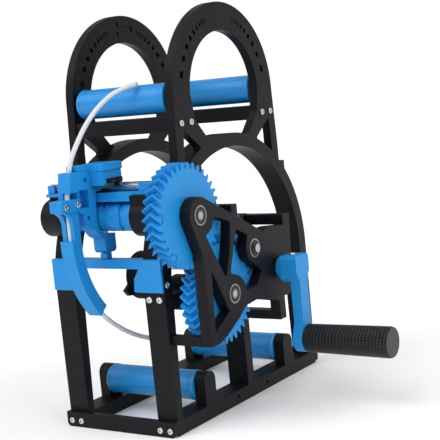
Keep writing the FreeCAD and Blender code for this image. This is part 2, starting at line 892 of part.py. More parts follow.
bracket = new_body("gear_bracket")
pad(bracket, "sizes.bracket_start", "sizes.bracket_thick", [bracket_outline()] + bracket_windows())
EYES = [
    (drum_axis, S.drum_eye_radius),
    (lower_axis, S.lower_boss_radius),
    (compound_axis, S.compound_boss_radius),
    (crank_axis, S.crank_boss_radius),
]
for eye_centre, eye_radius in EYES:
    eye = ("circle", eye_centre, eye_radius)
    pad(bracket, "sizes.bracket_start", "sizes.bracket_thick", [eye])
eye_bores = [("circle", centre, S.shaft_radius + 0.8) for centre, _ in EYES[:3]]
eye_bores.append(("circle", crank_axis, S.spindle_radius + 0.8))
pocket(bracket, "sizes.bracket_end", "sizes.bracket_thick", eye_bores)
eye_seats = [("circle", centre, S.bearing_radius + S.running_fit) for centre, _ in EYES]
pocket(bracket, "sizes.bracket_end", "sizes.bearing_width", eye_seats)
keep("gear_bracket", bracket)

spacers = []
for number, (y0, z0, y1, z1) in enumerate(spacer_places):
    spacers.append(box(f"spacer_{number + 1}", (frame_outer, y0, z0), (bracket_start, y1, z1)))
spacer_set = doc.addObject("Part::Compound", "bracket_spacers")
spacer_set.Links = spacers
keep("bracket_spacers", spacer_set)


# Ball bearings, each a ring with a sunk shield on both faces.


def ball_bearing(x0, axis, shaft):
    x1 = x0 + S.bearing_width
    shield_in = shaft + 1.6
    shield_out = S.bearing_radius - 1.4
    ring = round_bar(S.bearing_radius, x0, x1, axis).cut(
        round_bar(shaft + S.running_fit, x0 - 1, x1 + 1, axis))
    for face in (x0 - 0.5, x1 - 0.5):
        sunk = round_bar(shield_out, face, face + 1, axis)
        ring = ring.cut(sunk.cut(round_bar(shield_in, face - 1, face + 2, axis)))
    return ring


frame_seat = frame_outer - S.bearing_width
bracket_seat = bracket_end - S.bearing_width
frame_bearings = [ball_bearing(frame_seat, axis, S.shaft_radius)
                  for axis in (drum_axis, lower_axis, compound_axis)]
frame_bearings.append(ball_bearing(frame_seat, crank_axis, S.spindle_radius))
frame_bearings.append(ball_bearing(-frame_outer, drum_axis, S.shaft_radius))
group("frame_bearings", frame_bearings)
bracket_bearings = [ball_bearing(bracket_seat, axis, S.shaft_radius)
                    for axis in (drum_axis, lower_axis, compound_axis)]
bracket_bearings.append(ball_bearing(bracket_seat, crank_axis, S.spindle_radius))
group("bracket_bearings", bracket_bearings)


# Herringbone gears. Each tooth flank is one arc through three points of the involute.


def involute(angle):
    return math.tan(angle) - angle


def gear_wire(teeth, x, axis, turned):
    """Outline of a gear in the plane at x, with a tooth in the direction turned."""
    pitch = S.gear_module * teeth / 2
    pressure = math.radians(S.pressure_angle)
    base = pitch * math.cos(pressure)
    tip = pitch + 0.95 * S.gear_module
    root = pitch - 1.25 * S.gear_module
    half_tooth = (math.pi * S.gear_module / 2 - S.gear_backlash) / (2 * pitch)

    def half_angle(radius):
        return half_tooth + involute(pressure) - involute(math.acos(min(1, base / radius)))

    start = max(base, root)
    centre = (start + tip) / 2
    undercut = start > root + 0.05
    root_angle = half_angle(start) * (0.8 if undercut else 1.0)

    def point(radius, angle):
        return Vector(x, axis[0] + radius * math.cos(angle), axis[1] + radius * math.sin(angle))

    edges = []
    for k in range(teeth):
        tooth = turned + 2 * math.pi * k / teeth
        if undercut:
            edges.append(Part.LineSegment(
                point(root, tooth - root_angle), point(start, tooth - half_angle(start))))
        else:
            root_angle = half_angle(start)
        low = start if undercut else root
        edges.append(Part.Arc(
            point(low, tooth - half_angle(start)),
            point(centre, tooth - half_angle(centre)),
            point(tip, tooth - half_angle(tip))))
        edges.append(Part.Arc(
            point(tip, tooth - half_angle(tip)), point(tip, tooth), point(tip, tooth + half_angle(tip))))
        edges.append(Part.Arc(
            point(tip, tooth + half_angle(tip)),
            point(centre, tooth + half_angle(centre)),
            point(low, tooth + half_angle(start))))
        if undercut:
            edges.append(Part.LineSegment(
                point(start, tooth + half_angle(start)), point(root, tooth + root_angle)))
        gap = tooth + math.pi / teeth
        following = tooth + 2 * math.pi / teeth
        edges.append(Part.Arc(
            point(root, tooth + root_angle), point(root, gap), point(root, following - root_angle)))
    return Part.Wire([edge.toShape() for edge in edges])


def herringbone(teeth, x0, x1, axis, turned, hand):
    """Gear whose teeth sweep forward to the middle of its width and back again.

    Each straight-sided slice turns by less than half a tooth, and by no more than a quarter radian.
    """
    width = x1 - x0
    sweep = hand * S.helix_slope * (width / 2) / (S.gear_module * teeth / 2)
    steps = math.ceil(max(abs(sweep) * teeth / math.pi * 1.2, abs(sweep) / 0.25))
    wires = []
    for k in range(2 * steps + 1):
        share = 1 - abs(k - steps) / steps
        x = x0 + width * k / (2 * steps)
        wires.append(gear_wire(teeth, x, axis, turned + sweep * share))
    return Part.makeLoft(wires, True, True)


def mesh_phase(teeth_a, axis_a, phase_a, teeth_b, axis_b):
    """Direction of a tooth of gear b that meshes with gear a."""
    towards = math.atan2(axis_b[1] - axis_a[1], axis_b[0] - axis_a[0])
    back = towards + math.pi
    return back - (math.pi - teeth_a * (towards - phase_a)) / teeth_b


large_phase = 0.0
crank_phase = mesh_phase(LARGE_TEETH, compound_axis, large_phase, CRANK_TEETH, crank_axis)
lower_phase = mesh_phase(SMALL_TEETH, compound_axis, large_phase, LOWER_TEETH, lower_axis)
upper_phase = mesh_phase(LOWER_TEETH, lower_axis, lower_phase, UPPER_TEETH, drum_axis)

shaft_bore = S.shaft_radius + S.running_fit


def big_gear(label, teeth, axis, phase, hand):
    """Gear of the second layer with a hub that reaches to the frame's bearing."""
    gear = herringbone(teeth, second_start, second_end, axis, phase, hand)
    hub = round_bar(S.hub_radius, frame_outer + S.face_gap, second_start + 1, axis)
    bore = round_bar(shaft_bore, frame_outer, second_end + 1, axis)
    return keep(label, solid(label, gear.fuse(hub).cut(bore)))


big_gear("upper_gear", UPPER_TEETH, drum_axis, upper_phase, -1)
big_gear("lower_gear", LOWER_TEETH, lower_axis, lower_phase, 1)

large_gear = herringbone(LARGE_TEETH, first_start, first_end, compound_axis, large_phase, -1)
small_gear = herringbone(SMALL_TEETH, second_start, second_end, compound_axis, large_phase, -1)
neck = round_bar(S.hub_radius, first_end - 1, second_start + 1, compound_axis)
compound_bore = round_bar(shaft_bore, first_start - 1, second_end + 1, compound_axis)
keep("compound_gear", solid("compound_gear", large_gear.fuse([small_gear, neck]).cut(compound_bore)))

pinion = herringbone(CRANK_TEETH, first_start, first_end, crank_axis, crank_phase, 1)
pinion_bore = round_bar(S.spindle_radius + S.running_fit, first_start - 1, first_end + 1, crank_axis)
keep("crank_pinion", solid("crank_pinion", pinion.cut(pinion_bore)))


# Shafts.
keep("drum_shaft", cylinder(
    "drum_shaft", "sizes.shaft_radius", "-sizes.frame_outer",
    "sizes.frame_outer + sizes.bracket_end", "drum"))
keep("lower_gear_shaft", cylinder(
    "lower_gear_shaft", "sizes.shaft_radius", "sizes.frame_inner",
    "sizes.bracket_end - sizes.frame_inner", "lower"))
keep("crank_spindle", cylinder(
    "crank_spindle", "sizes.spindle_radius", "-sizes.spindle_reach",
    "sizes.spindle_reach + sizes.arm_end - sizes.spindle_cover - sizes.face_gap", "crank"))
compound_rod = round_bar(S.shaft_radius, frame_outer - S.web_thick, bracket_end, compound_axis)
compound_head = round_bar(3.6, bracket_end + 0.1, bracket_end + 2.8, compound_axis)
compound_neck = round_bar(S.shaft_radius, bracket_end - 1, bracket_end + 0.2, compound_axis)
keep("compound_shaft", solid("compound_shaft", compound_rod.fuse([compound_neck, compound_head])))


# Crank with its handle.
crank_arm = new_body("crank_arm")
hub_half = S.crank_hub_radius
neck_half = S.crank_neck / 2
eye_half = S.crank_eye_radius
corner = S.crank_hub_corner
crank_top = crank_axis[1] + hub_half
pad(crank_arm, "sizes.hub_start", "sizes.crank_collar_length + 1", [
    ("circle", crank_axis, S.crank_collar_radius)
])
block_start = "sizes.hub_start + sizes.crank_collar_length"
pad(crank_arm, block_start, "sizes.crank_hub_length - sizes.crank_collar_length + 1", [
    [
        offset(crank_axis, -hub_half, corner - hub_half),
        offset(crank_axis, corner - hub_half, -hub_half),
        offset(crank_axis, hub_half - corner, -hub_half),
        offset(crank_axis, hub_half, corner - hub_half),
        (hub_half, crank_top - corner),
        (hub_half - corner, crank_top),
        (corner - hub_half, crank_top),
        (-hub_half, crank_top - corner),
    ]
])
pad(crank_arm, "sizes.arm_start", "sizes.crank_arm_thick", [
    [
        (-hub_half, crank_top - 2),
        (-hub_half, crank_axis[1] - 3),
        (-neck_half, crank_axis[1] - 10.5),
        (-neck_half, handle_axis[1] + 14),
        (-eye_half, handle_axis[1] + 3),
        ("arc", offset(handle_axis, 0, -eye_half - 0.4), (eye_half, handle_axis[1] + 3)),
        (neck_half, handle_axis[1] + 14),
        (neck_half, crank_axis[1] - 10.5),
        (hub_half, crank_axis[1] - 3),
        (hub_half, crank_top - 2),
        (hub_half - 2, crank_top),
        (-hub_half + 2, crank_top),
    ]
])
spindle_bore = ("circle", crank_axis, S.spindle_radius + S.running_fit)
handle_bore = ("circle", handle_axis, S.axle_radius + S.running_fit)
pocket(crank_arm, "sizes.hub_start", "sizes.arm_end - sizes.hub_start - sizes.spindle_cover",
       [spindle_bore], along_normal=True)
pocket(crank_arm, "sizes.arm_end", "sizes.crank_arm_thick", [handle_bore])
crank_screw_x = arm_start
top_hole = ("circle", (crank_screw_x, 0), screw_hole)
pocket(crank_arm, "sizes.crank_height + sizes.crank_hub_radius", "sizes.crank_hub_radius",
       [top_hole], "XY_Plane")
keep("crank_arm", crank_arm)

grub_seat = (crank_screw_x, 0, crank_top)
grub_length = S.crank_hub_radius - S.spindle_radius - S.face_gap
keep("crank_screw", solid("crank_screw", screw(grub_seat, (0, 0, -1), grub_length)))
keep("handle_axle", cylinder(
    "handle_axle", "sizes.axle_radius", "sizes.arm_start",
    "sizes.grip_end - sizes.arm_start - 1", "handle"))

grip = new_body("handle_grip")
grip_bore = S.axle_radius + S.roller_fit
turn(grip, [
    (grip_start, grip_bore),
    (grip_start, S.grip_radius - 0.8),
    (grip_start + 0.8, S.grip_radius),
    (grip_end, S.grip_radius + S.grip_swell),
    (grip_end, grip_bore),
])
keep("handle_grip", place(grip, "handle"))
cap = new_body("handle_cap")
cap_radius = S.grip_radius + S.grip_swell
turn(cap, [
    (grip_end, 0),
    (grip_end, cap_radius),
    (grip_end + S.cap_length - 1.2, cap_radius),
    (grip_end + S.cap_length, cap_radius - 1.2),
    (grip_end + S.cap_length, 0),
])
keep("handle_cap", place(cap, "handle"))


# Spool hub on the spindle, and the clamp ring that hangs on its open end.


def thread_profile(x0, radius):
    """Ridges of a coarse thread, from x0 towards +X, as (x, radius) points."""
    crest = S.thread_pitch * 0.3
    slope = S.thread_pitch * 0.2
    points = []
    for k in range(int(S.thread_count)):
        x = x0 + k * S.thread_pitch
        points += [
            (x, radius - S.thread_depth),
            (x + slope, radius),
            (x + slope + crest, radius),
            (x + 2 * slope + crest, radius - S.thread_depth),
        ]
    return points


thread_length = S.thread_pitch * S.thread_count
flange_end = frame_inner - 1
flange_start = flange_end - 3
sleeve_start = flange_start - thread_length
hub = new_body("spool_hub")
turn(hub, [(sleeve_start, S.spindle_radius + S.running_fit)]
     + thread_profile(sleeve_start, S.thread_radius - 2.5)
     + [
         (flange_start, S.thread_radius - 2.5 - S.thread_depth),
         (flange_start, S.hub_flange_radius),
         (flange_end, S.hub_flange_radius),
         (flange_end, S.spindle_radius + S.running_fit)])
keep("spool_hub", place(hub, "crank"))

clamp_axis = axis_cells(
    "clamp", offset(crank_axis, 0, S.spindle_radius + S.running_fit - S.clamp_bore))
sheet.recompute()
clamp_start = cell("clamp_start", -(S.spindle_reach - 3))
sheet.recompute()
clamp = new_body("clamp_ring")
turn(clamp, [(clamp_start, S.clamp_bore)]
     + thread_profile(clamp_start, S.thread_radius)
     + [
         (clamp_start + thread_length, S.thread_radius - S.thread_depth),
         (clamp_start + thread_length, S.clamp_bore)])
for wing_turn in (19, 199):
    wing = [
        polar((0, 0), S.thread_radius - 3, wing_turn - 8),
        polar((0, 0), S.wing_reach, wing_turn),
        polar((0, 0), S.wing_reach - 2, wing_turn + 14),
        polar((0, 0), S.thread_radius - 3, wing_turn + 38),
    ]
    pad(clamp, "sizes.clamp_start", "sizes.thread_pitch", [wing])
keep("clamp_ring", place(clamp, "clamp"))


# Level wind: drum, stretcher, guide rod and lower rail.


def at_drum(dy, dz):
    return offset(drum_axis, dy, dz)


drum_half = cell("drum_half", frame_inner - S.drum_gap)
sheet.recompute()
drum = new_body("traverse_drum")
turn(drum, [
    (-drum_half, shaft_bore),
    (-drum_half, S.drum_radius),
    (drum_half, S.drum_radius),
    (drum_half, shaft_bore),
])
keep("traverse_drum", place(drum, "drum"))

stretcher_top = rod_axis[1] - S.stretcher_drop
stretcher_left = cell("stretcher_left", frame_outer - S.left_inset)
stretcher_right = cell("stretcher_right", frame_outer - S.right_inset)
sheet.recompute()
stretcher = new_body("drum_stretcher")
stretcher_back = drum_axis[0] + S.stretcher_half_depth
pad(stretcher, "-sizes.stretcher_left", "sizes.stretcher_left + sizes.stretcher_right", [
    rectangle(drum_axis[0] - S.stretcher_half_depth, stretcher_top - S.stretcher_height,
              stretcher_back, stretcher_top),
])
pad(stretcher, "-sizes.frame_inner + sizes.drum_gap", "2 * (sizes.frame_inner - sizes.drum_gap)", [
    rectangle(stretcher_back - 1, stretcher_top - S.apron_drop,
              stretcher_back + S.apron_depth, stretcher_top),
])
saddle = rectangle(
    drum_axis[0] - S.drum_boss_radius - 1, drum_axis[1],
    drum_axis[0] + S.drum_boss_radius + 1, drum_axis[1] + S.drum_block_top)
pocket(stretcher, "sizes.frame_outer", "sizes.frame_thick", [saddle])
pocket(stretcher, "-sizes.frame_outer", "sizes.frame_thick", [saddle], along_normal=True)
rod_bed = ("circle", rod_axis, S.guide_rod_radius + S.face_gap)
pocket(stretcher, "sizes.frame_outer", "sizes.frame_width", [rod_bed])
keep("drum_stretcher", stretcher)

keep("guide_rod", cylinder(
    "guide_rod", "sizes.guide_rod_radius", "-sizes.stretcher_left",
    "sizes.stretcher_left + sizes.stretcher_right", "guide_rod"))
holders = []
holder_high = rod_axis[1] + S.holder_crown
holder_spans = [
    (-stretcher_left, S.holder_width - stretcher_left),
    (stretcher_right - S.right_holder_width, stretcher_right),
]
for start, end in holder_spans:
    low = Vector(start, rod_axis[0] - 6, stretcher_top)
    block = Part.makeBox(end - start, 12, holder_high - stretcher_top, low)
    hole = round_bar(S.guide_rod_radius + S.running_fit, start - 1, end + 1, rod_axis)
    holders.append(block.cut(hole))
group("rod_holders", holders)

track_top = drum_axis[1] - S.track_drop
track_low = track_top - S.track_rise
track_front = cell("track_front", S.ring_radius + S.track_reach)
track_back = cell("track_back", track_front - S.track_depth)
sheet.recompute()
lug_bottom = track_low - 19
track = new_body("lower_rail")


def track_lug(flip):
    """Wide lug below the rail's end."""
    outline = [
        (28.6, lug_bottom + 1.6),
        ("arc", (29.1, lug_bottom + 0.5), (30.2, lug_bottom)),
        (frame_outer, lug_bottom),
        (frame_outer, track_top),
        (34.8, track_top),
        (34.8, track_low),
        (29.6, track_low - 8),
    ]
    return outline if flip > 0 else mirrored(outline)


bar = rectangle(-frame_outer, track_low, frame_outer, track_top)
pad(track, "sizes.track_back", "sizes.track_depth", [bar], "XZ_Plane")
for flip_x in (-1, 1):
    pad(track, "sizes.track_front - 2.5", "2.5 mm", [track_lug(flip_x)], "XZ_Plane")
ring_round = ("circle", (0, S.ring_height), S.ring_radius)
pocket(track, "sizes.frame_outer", "sizes.frame_thick", [ring_round])
pocket(track, "-sizes.frame_outer", "sizes.frame_thick", [ring_round], along_normal=True)
keep("lower_rail", track)


# Tube of the filament guide: straight runs joined by tangent arcs.


def bend_radius(trim, bend):
    """Radius of the arc that starts this far before a corner."""
    return trim / math.tan(bend / 2)


def rounded_route(points, name):
    """Edges of a route whose corners are arcs as large as their two runs allow."""
    edges = []
    here = points[0]
    radii = []
    for before, corner, after in zip(points, points[1:], points[2:]):
        into = corner - before
        out = after - corner
        bend = into.getAngle(out)
        trim = 0.45 * min(into.Length, out.Length)
        radius = bend_radius(trim, bend)
        radii.append(round(radius, 1))
        into.normalize()
        out.normalize()
        start = corner - into * trim
        end = corner + out * trim
        inward = (out - into).normalize()
        middle_point = corner + inward * (radius / math.cos(bend / 2) - radius)
        edges.append(Part.LineSegment(here, start).toShape())
        edges.append(Part.Arc(start, middle_point, end).toShape())
        here = end
    edges.append(Part.LineSegment(here, points[-1]).toShape())
    print(name, "bend radii", radii)
    return edges


def pipe(edges, radius, name):
    path = Part.Wire(edges)
    first = edges[0]
    heading = first.tangentAt(first.FirstParameter)
    ring = Part.Wire(Part.Circle(first.valueAt(first.FirstParameter), heading, radius).toShape())
    shape = path.makePipeShell([ring], True, True)
    expected = math.pi * radius**2 * path.Length
    print(name, "length", round(path.Length, 1), "volume share", round(shape.Volume / expected, 4))
    assert abs(shape.Volume / expected - 1) < 0.01
    return shape


arm_centre = at_drum(S.arm_radius - S.arm_reach, -S.arm_drop)
arm_top = (arm_centre[0] - S.arm_radius, arm_centre[1])
arm_tip = polar(arm_centre, S.arm_radius, 180 + S.arm_sweep)


def on_tube(dy, dz):
    """Point of the tube in the guide's plane, from the drum's axis."""
    point = at_drum(dy, dz)
    return Vector(tube_x, point[0], point[1])


tube_top = on_tube(-34.3, 41.16)
held_route = [
    tube_top,
    on_tube(-37.4, 30.0),
    on_tube(-39.6, 24.5),
    on_tube(-40.5, 12.0),
    Vector(tube_x, arm_top[0], arm_centre[1] + 14),
    Vector(tube_x, arm_top[0], arm_centre[1]),
]
bend_point = polar(arm_centre, S.arm_radius, 180 + S.arm_sweep / 2)
arm_arc = Part.Arc(held_route[-1], Vector(tube_x, *bend_point), Vector(tube_x, *arm_tip)).toShape()


def held_edges(name):
    return rounded_route(held_route, name) + [arm_arc]


keep("tube_held", solid("tube_held", pipe(held_edges("held tube"), S.tube_radius, "held tube")))
tube_bore_shape = pipe(held_edges("tube bore"), S.tube_radius + S.roller_fit, "tube bore")

# Free ends of the tube: x, then y and z from the drum's axis or from the arm's tip.
UPPER_ROUTE = [
    (-3.0, -34.3, 41.16),
    (-2.8, -32.4, 48.2),
    (-2.0, -24.2, 60.6),
    (0.2, -10.9, 77.7),
    (5.2, 4.9, 92.7),
    (12.4, 20.3, 102.2),
    (19.0, 36.0, 104.8),
]
LOWER_ROUTE = [
    (-3.0, 0, 0),
    (-3.0, 5.34, -5.9),
    (-3.2, 16.94, -15.3),
    (-3.6, 33.44, -25.9),
    (-4.2, 52.94, -35.5),
    (-5.0, 71.44, -41.9),
]


def free_tube(label, start, route):
    points = [Vector(x, start[0] + dy, start[1] + dz) for x, dy, dz in route]
    return keep(label, solid(label, pipe(rounded_route(points, label), S.tube_radius, label)))


free_tube("tube_upper", drum_axis, UPPER_ROUTE)
free_tube("tube_lower", arm_tip, LOWER_ROUTE)


# Carriage that runs on the guide rod and wraps round the drum.
clear = S.carriage_bore
rod_clear = S.guide_rod_radius + S.running_fit
block_low = stretcher_top + S.carriage_lift
block_high = rod_axis[1] + S.guide_rod_radius + S.carriage_crown
chin = block_low + S.carriage_chin
wrap = clear + 4.5
lip = -(clear + 2.64)
carriage_outline = [
    (drum_axis[0] - 42.8, chin),
    (drum_axis[0] - 40.1, block_high),
    (drum_axis[0] + 8.3, block_high),
    (drum_axis[0] + 8.3, block_low),
    (rod_axis[0] + rod_clear, block_low),
    (rod_axis[0] + rod_clear, rod_axis[1]),
    ("arc", (rod_axis[0], rod_axis[1] + rod_clear), (rod_axis[0] - rod_clear, rod_axis[1])),
    (rod_axis[0] - rod_clear, block_low),
    (drum_axis[0] - 11.6, block_low),
    at_drum(-12.9, 14.1),
    at_drum(-clear, 0),
    ("arc", polar(drum_axis, clear, 225), at_drum(0, -clear)),
    at_drum(6.9, -clear),
    at_drum(6.9, lip),
    at_drum(-7.1, lip),
    ("arc", polar(drum_axis, wrap, 225), polar(drum_axis, wrap, 204)),
    at_drum(-29.3, -2.6),
    at_drum(-29.3, 7.4),
    at_drum(-33.5, 7.4),
    (drum_axis[0] - 33.5, chin),
]
carriage = new_body("carriage_blank")
pad(carriage, "-sizes.carriage_left", "sizes.carriage_left + sizes.carriage_right", [carriage_outline])
recess = rectangle(drum_axis[0] - 32.1, drum_axis[1] + 11.4, drum_axis[0] - 21.1, drum_axis[1] + 25.7)
pocket(carriage, "sizes.carriage_right", "8 mm", [recess])
dimples = [("circle", at_drum(-23.1, 33.2), 1.9), ("circle", at_drum(-23.5, 3), 1.9)]
pocket(carriage, "sizes.carriage_right", "6 mm", dimples)
follower_x = cell("follower_x", tube_x + 0.4)
follower_hole = ("circle", (follower_x, drum_axis[0]), S.follower_radius + S.running_fit)
cell("lip_top", drum_axis[1] - clear + 1.5)
sheet.recompute()
pocket(carriage, "sizes.lip_top", "10 mm", [follower_hole], "XY_Plane")
bore_tool = solid("tube_bore", tube_bore_shape)
keep("carriage_block", cut("carriage_block", carriage, [bore_tool]))

housing_top = drum_axis[1] + lip
housing_drop = lip - 12.2
housing_low = drum_axis[1] + housing_drop
housing = new_body("housing_blank")
pad(housing, "-sizes.carriage_left + 0.2", "sizes.carriage_left + sizes.carriage_right - 0.2", [
    [
        at_drum(-7.1, lip),
        at_drum(-7.1, housing_drop + 2.2),
        at_drum(-4.9, housing_drop),
        at_drum(4.7, housing_drop),
        at_drum(6.9, housing_drop + 2.2),
        at_drum(6.9, lip),
    ]
])
cell("housing_top", housing_top)
sheet.recompute()
pocket(housing, "sizes.housing_top", "7 mm", [follower_hole], "XY_Plane")
keep("follower_housing", housing)

pin_low = housing_top - 6.8
pin_high = drum_axis[1] - S.drum_radius - S.face_gap
follower_pin = doc.addObject("Part::Cylinder", "follower_pin")
follower_pin.setExpression("Radius", "sizes.follower_radius")
follower_pin.Height = pin_high - pin_low
follower_pin.Placement.Base = Vector(follower_x, drum_axis[0], pin_low)
keep("follower_pin", follower_pin)
keep("follower_cap", box(
    "follower_cap",
    (-S.carriage_right - 0.8, -track_front + 1, track_top + S.face_gap),
    (S.carriage_right, -track_front + 8, housing_low)))

# Guide arm with its tube channel, clamp and screws.
outer_arc = S.arm_radius + S.arm_half_depth
inner_arc = S.arm_radius - S.arm_half_depth
tip_turn = 180 + S.arm_sweep
half_turn_angle = 180 + S.arm_sweep / 2
lug_top = drum_axis[1] + 19.9
lug_low = drum_axis[1] + 9.8
arm_back = drum_axis[0] - 33.5
arm_outline = [
    (arm_centre[0] - inner_arc, arm_centre[1]),
    ("arc", polar(arm_centre, inner_arc, half_turn_angle), polar(arm_centre, inner_arc, tip_turn)),
    polar(arm_centre, outer_arc, tip_turn),
    ("arc", polar(arm_centre, outer_arc, half_turn_angle), (arm_centre[0] - outer_arc, arm_centre[1])),
    (arm_centre[0] - outer_arc, arm_centre[1] + 0.8),
    (arm_top[0] - 1.62, arm_centre[1] + 0.8),
    at_drum(-42.7, 0.2),
    at_drum(-44.3, 5.4),
    at_drum(-47.1, 8.4),
    at_drum(-51.5, 10.8),
    at_drum(-53.7, 10.8),
    (drum_axis[0] - 53.7, lug_top),
    (arm_back, lug_top),
    (arm_back, lug_low),
    (arm_centre[0] - inner_arc, lug_low - 2),
]
arm = new_body("arm_blank")
pad(arm, "-sizes.carriage_left - 0.2", "sizes.carriage_left + sizes.carriage_right + 0.2", [arm_outline])
neck_width = "sizes.carriage_left + sizes.tube_x - sizes.tube_radius"
riser = rectangle(drum_axis[0] - 42.8, lug_top - 1, arm_back, chin)
pad(arm, "-sizes.carriage_left", neck_width, [riser])
channel = box(
    "arm_channel",
    (tube_x - S.channel_width / 2, drum_axis[0] - 60, arm_centre[1] + 0.8),
    (tube_x + S.channel_width / 2, arm_top[0] + 0.5, lug_low))
clamp_split = -2.2
clamp_seat = box(
    "clamp_seat",
    (clamp_split, drum_axis[0] - 60, lug_low),
    (S.carriage_right + 1, arm_back + 1, lug_top + 1))
clamp_screw_y = [drum_axis[0] - 50.8, drum_axis[0] - 36.4]
clamp_screw_z = drum_axis[1] + 15.0
clamp_screw_radius = 1.25
clamp_holes = solid("clamp_holes", Part.makeCompound([
    round_bar(clamp_screw_radius + S.running_fit, -8, 1, (y, clamp_screw_z)) for y in clamp_screw_y]))
keep("guide_arm", cut("guide_arm", arm, [bore_tool, channel, clamp_seat, clamp_holes]))

clamp_face = 4.5
clamp_thick = clamp_face - clamp_split
plate = Part.makeBox(
    clamp_thick, 22, lug_top - lug_low - 0.3,
    Vector(clamp_split, arm_back - 22.1, lug_low + 0.3))
plate = plate.makeFillet(1.8, [edge for edge in plate.Edges
                               if abs(edge.BoundBox.XLength - clamp_thick) < 0.01])
for screw_y in clamp_screw_y:
    plate = plate.cut(round_bar(
        clamp_screw_radius + S.running_fit, clamp_split - 1, clamp_face + 1, (screw_y, clamp_screw_z)))
plate = plate.cut(tube_bore_shape)
keep("tube_clamp", solid("tube_clamp", plate))
group("clamp_screws", [
    screw((clamp_face, y, clamp_screw_z), (-1, 0, 0), 11, clamp_screw_radius) for y in clamp_screw_y])

# Turn counter on the carriage.
counter_x = S.carriage_right + S.counter_width
counter_front = drum_axis[0] - 16.6
counter_back = drum_axis[0] + 7.9
counter_low = rod_axis[1] + S.counter_lift
counter_high = counter_low + S.counter_height
counter = box(
    "counter_blank", (S.carriage_right, counter_front, counter_low), (counter_x, counter_back, counter_high))
rod_groove = cylinder(
    "rod_groove", "sizes.guide_rod_radius + sizes.face_gap", "sizes.carriage_right - 1",
    "sizes.counter_width + 2", "guide_rod")
keep("counter_box", cut("counter_box", counter, [rod_groove]))
lid_side = box(
    "lid_side", (S.carriage_right, counter_front - 0.4, counter_high),
    (counter_x + 1.5, counter_back, counter_high + S.lid_height))
lid_top = box(
    "lid_top", (-S.carriage_left, drum_axis[0] - 30.5, block_high),
    (S.carriage_right, counter_back, counter_high + S.lid_height))
keep("counter_lid", fuse("counter_lid", [lid_side, lid_top]))
board_low = counter_low - 1.6
keep("circuit_board", box(
    "circuit_board", (S.carriage_right + 1, counter_front + 0.6, board_low),
    (counter_x + 0.5, rod_axis[0] - 4.2, counter_low)))
header_x = counter_x + 2
header_low = rod_axis[1] + S.guide_rod_radius + S.face_gap
keep("pin_header", box(
    "pin_header", (counter_x, counter_front + 4.6, header_low),
    (header_x, counter_back - 1.9, header_low + 3.8)))
group("header_pins", [
    Part.makeBox(1.8, 0.7, 0.7, Vector(header_x, drum_axis[0] + dy, header_low + 1.6))
    for dy in (-9.0, -6.5, -4.0, -1.5, 1.0, 3.5)])


# Recompute, check everything, then write the pieces.
doc.recompute()
for thing in doc.Objects:
    for word in ("Invalid", "Error"):
        assert word not in thing.State, f"{thing.Label} is {thing.State}"
    if thing.TypeId == "PartDesign::Pocket":
        assert thing.Shape.Volume < thing.BaseFeature.Shape.Volume - 0.01, f"{thing.Label} cuts nothing"
for label, piece in NODES.items():
    shape = piece.Shape
    assert not shape.isNull() and shape.isValid() and shape.Solids, f"{label} has no sound solid"
    shape.exportStep(f"parts/{label}.step")
print(len(NODES), "pieces")
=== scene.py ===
# %% [markdown]
# # A hand-cranked filament spool winder
#
# The winder is a printed machine: black side frames, blue rollers and gears, a carriage that lays
# filament on a spool through a white tube, and a crank with a ribbed grip. The solid model is loaded
# first. It fixes every size and place, and each finished piece is fitted to it.

# %% Load the solid model
import json
import math

import bmesh
import bpy
from mathutils import Matrix, Vector


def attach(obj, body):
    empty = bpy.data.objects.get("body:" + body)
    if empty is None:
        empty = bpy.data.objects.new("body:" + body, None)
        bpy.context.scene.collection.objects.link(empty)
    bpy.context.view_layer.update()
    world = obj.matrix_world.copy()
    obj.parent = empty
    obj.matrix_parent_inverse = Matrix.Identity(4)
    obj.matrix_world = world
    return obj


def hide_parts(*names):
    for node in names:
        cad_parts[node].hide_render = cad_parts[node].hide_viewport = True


MM = 0.001
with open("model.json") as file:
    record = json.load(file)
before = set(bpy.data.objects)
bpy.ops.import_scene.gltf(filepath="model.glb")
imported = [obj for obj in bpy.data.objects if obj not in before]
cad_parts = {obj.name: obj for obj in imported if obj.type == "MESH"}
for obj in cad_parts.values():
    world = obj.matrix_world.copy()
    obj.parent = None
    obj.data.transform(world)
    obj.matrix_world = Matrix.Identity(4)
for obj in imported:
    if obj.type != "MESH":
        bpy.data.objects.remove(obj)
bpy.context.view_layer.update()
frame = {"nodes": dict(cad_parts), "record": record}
scene = bpy.context.scene

# %% [markdown]
# ## Objects and directions
#
# Blender keeps a shape and its place apart: the data is one thing and the object that holds it another.
# Every finished piece here has its place in its data, so one helper wraps the data in an object at the
# origin. A second helper turns a compass direction and a height, as one would say them, into a vector.


# %% Two small helpers
def put_in_scene(name, data):
    """A new object at the origin that holds the data."""
    holder = bpy.data.objects.new(name, data)
    scene.collection.objects.link(holder)
    return holder


def direction(azimuth, height_angle):
    """The way to something seen at an azimuth from the front and at a height, both in degrees."""
    azimuth, height_angle = math.radians(azimuth), math.radians(height_angle)
    level = math.cos(height_angle)
    return Vector((math.sin(azimuth) * level, -math.cos(azimuth) * level, math.sin(height_angle)))


print("the crank side lies towards", [round(v) for v in direction(90, 0)])

# %% [markdown]
# ## The camera
#
# The photograph was taken from the front and well to the right, a little above the winder, with a long
# lens and the camera slightly tilted on its side. Three angles could turn the camera, but their order
# is easy to get wrong. A camera's own axes are its right, its up and the direction behind it, so those
# three directions make its turn here, with no angles to convert.

# %% Place the camera
CAMERA_PLACE = Vector((576.2, -790.8, 277.3)) * MM
CAMERA_AZIMUTH = 34.21
CAMERA_HEIGHT_ANGLE = 7.08
CAMERA_ROLL = math.radians(-5.53)
CAMERA_LENS = 89.4


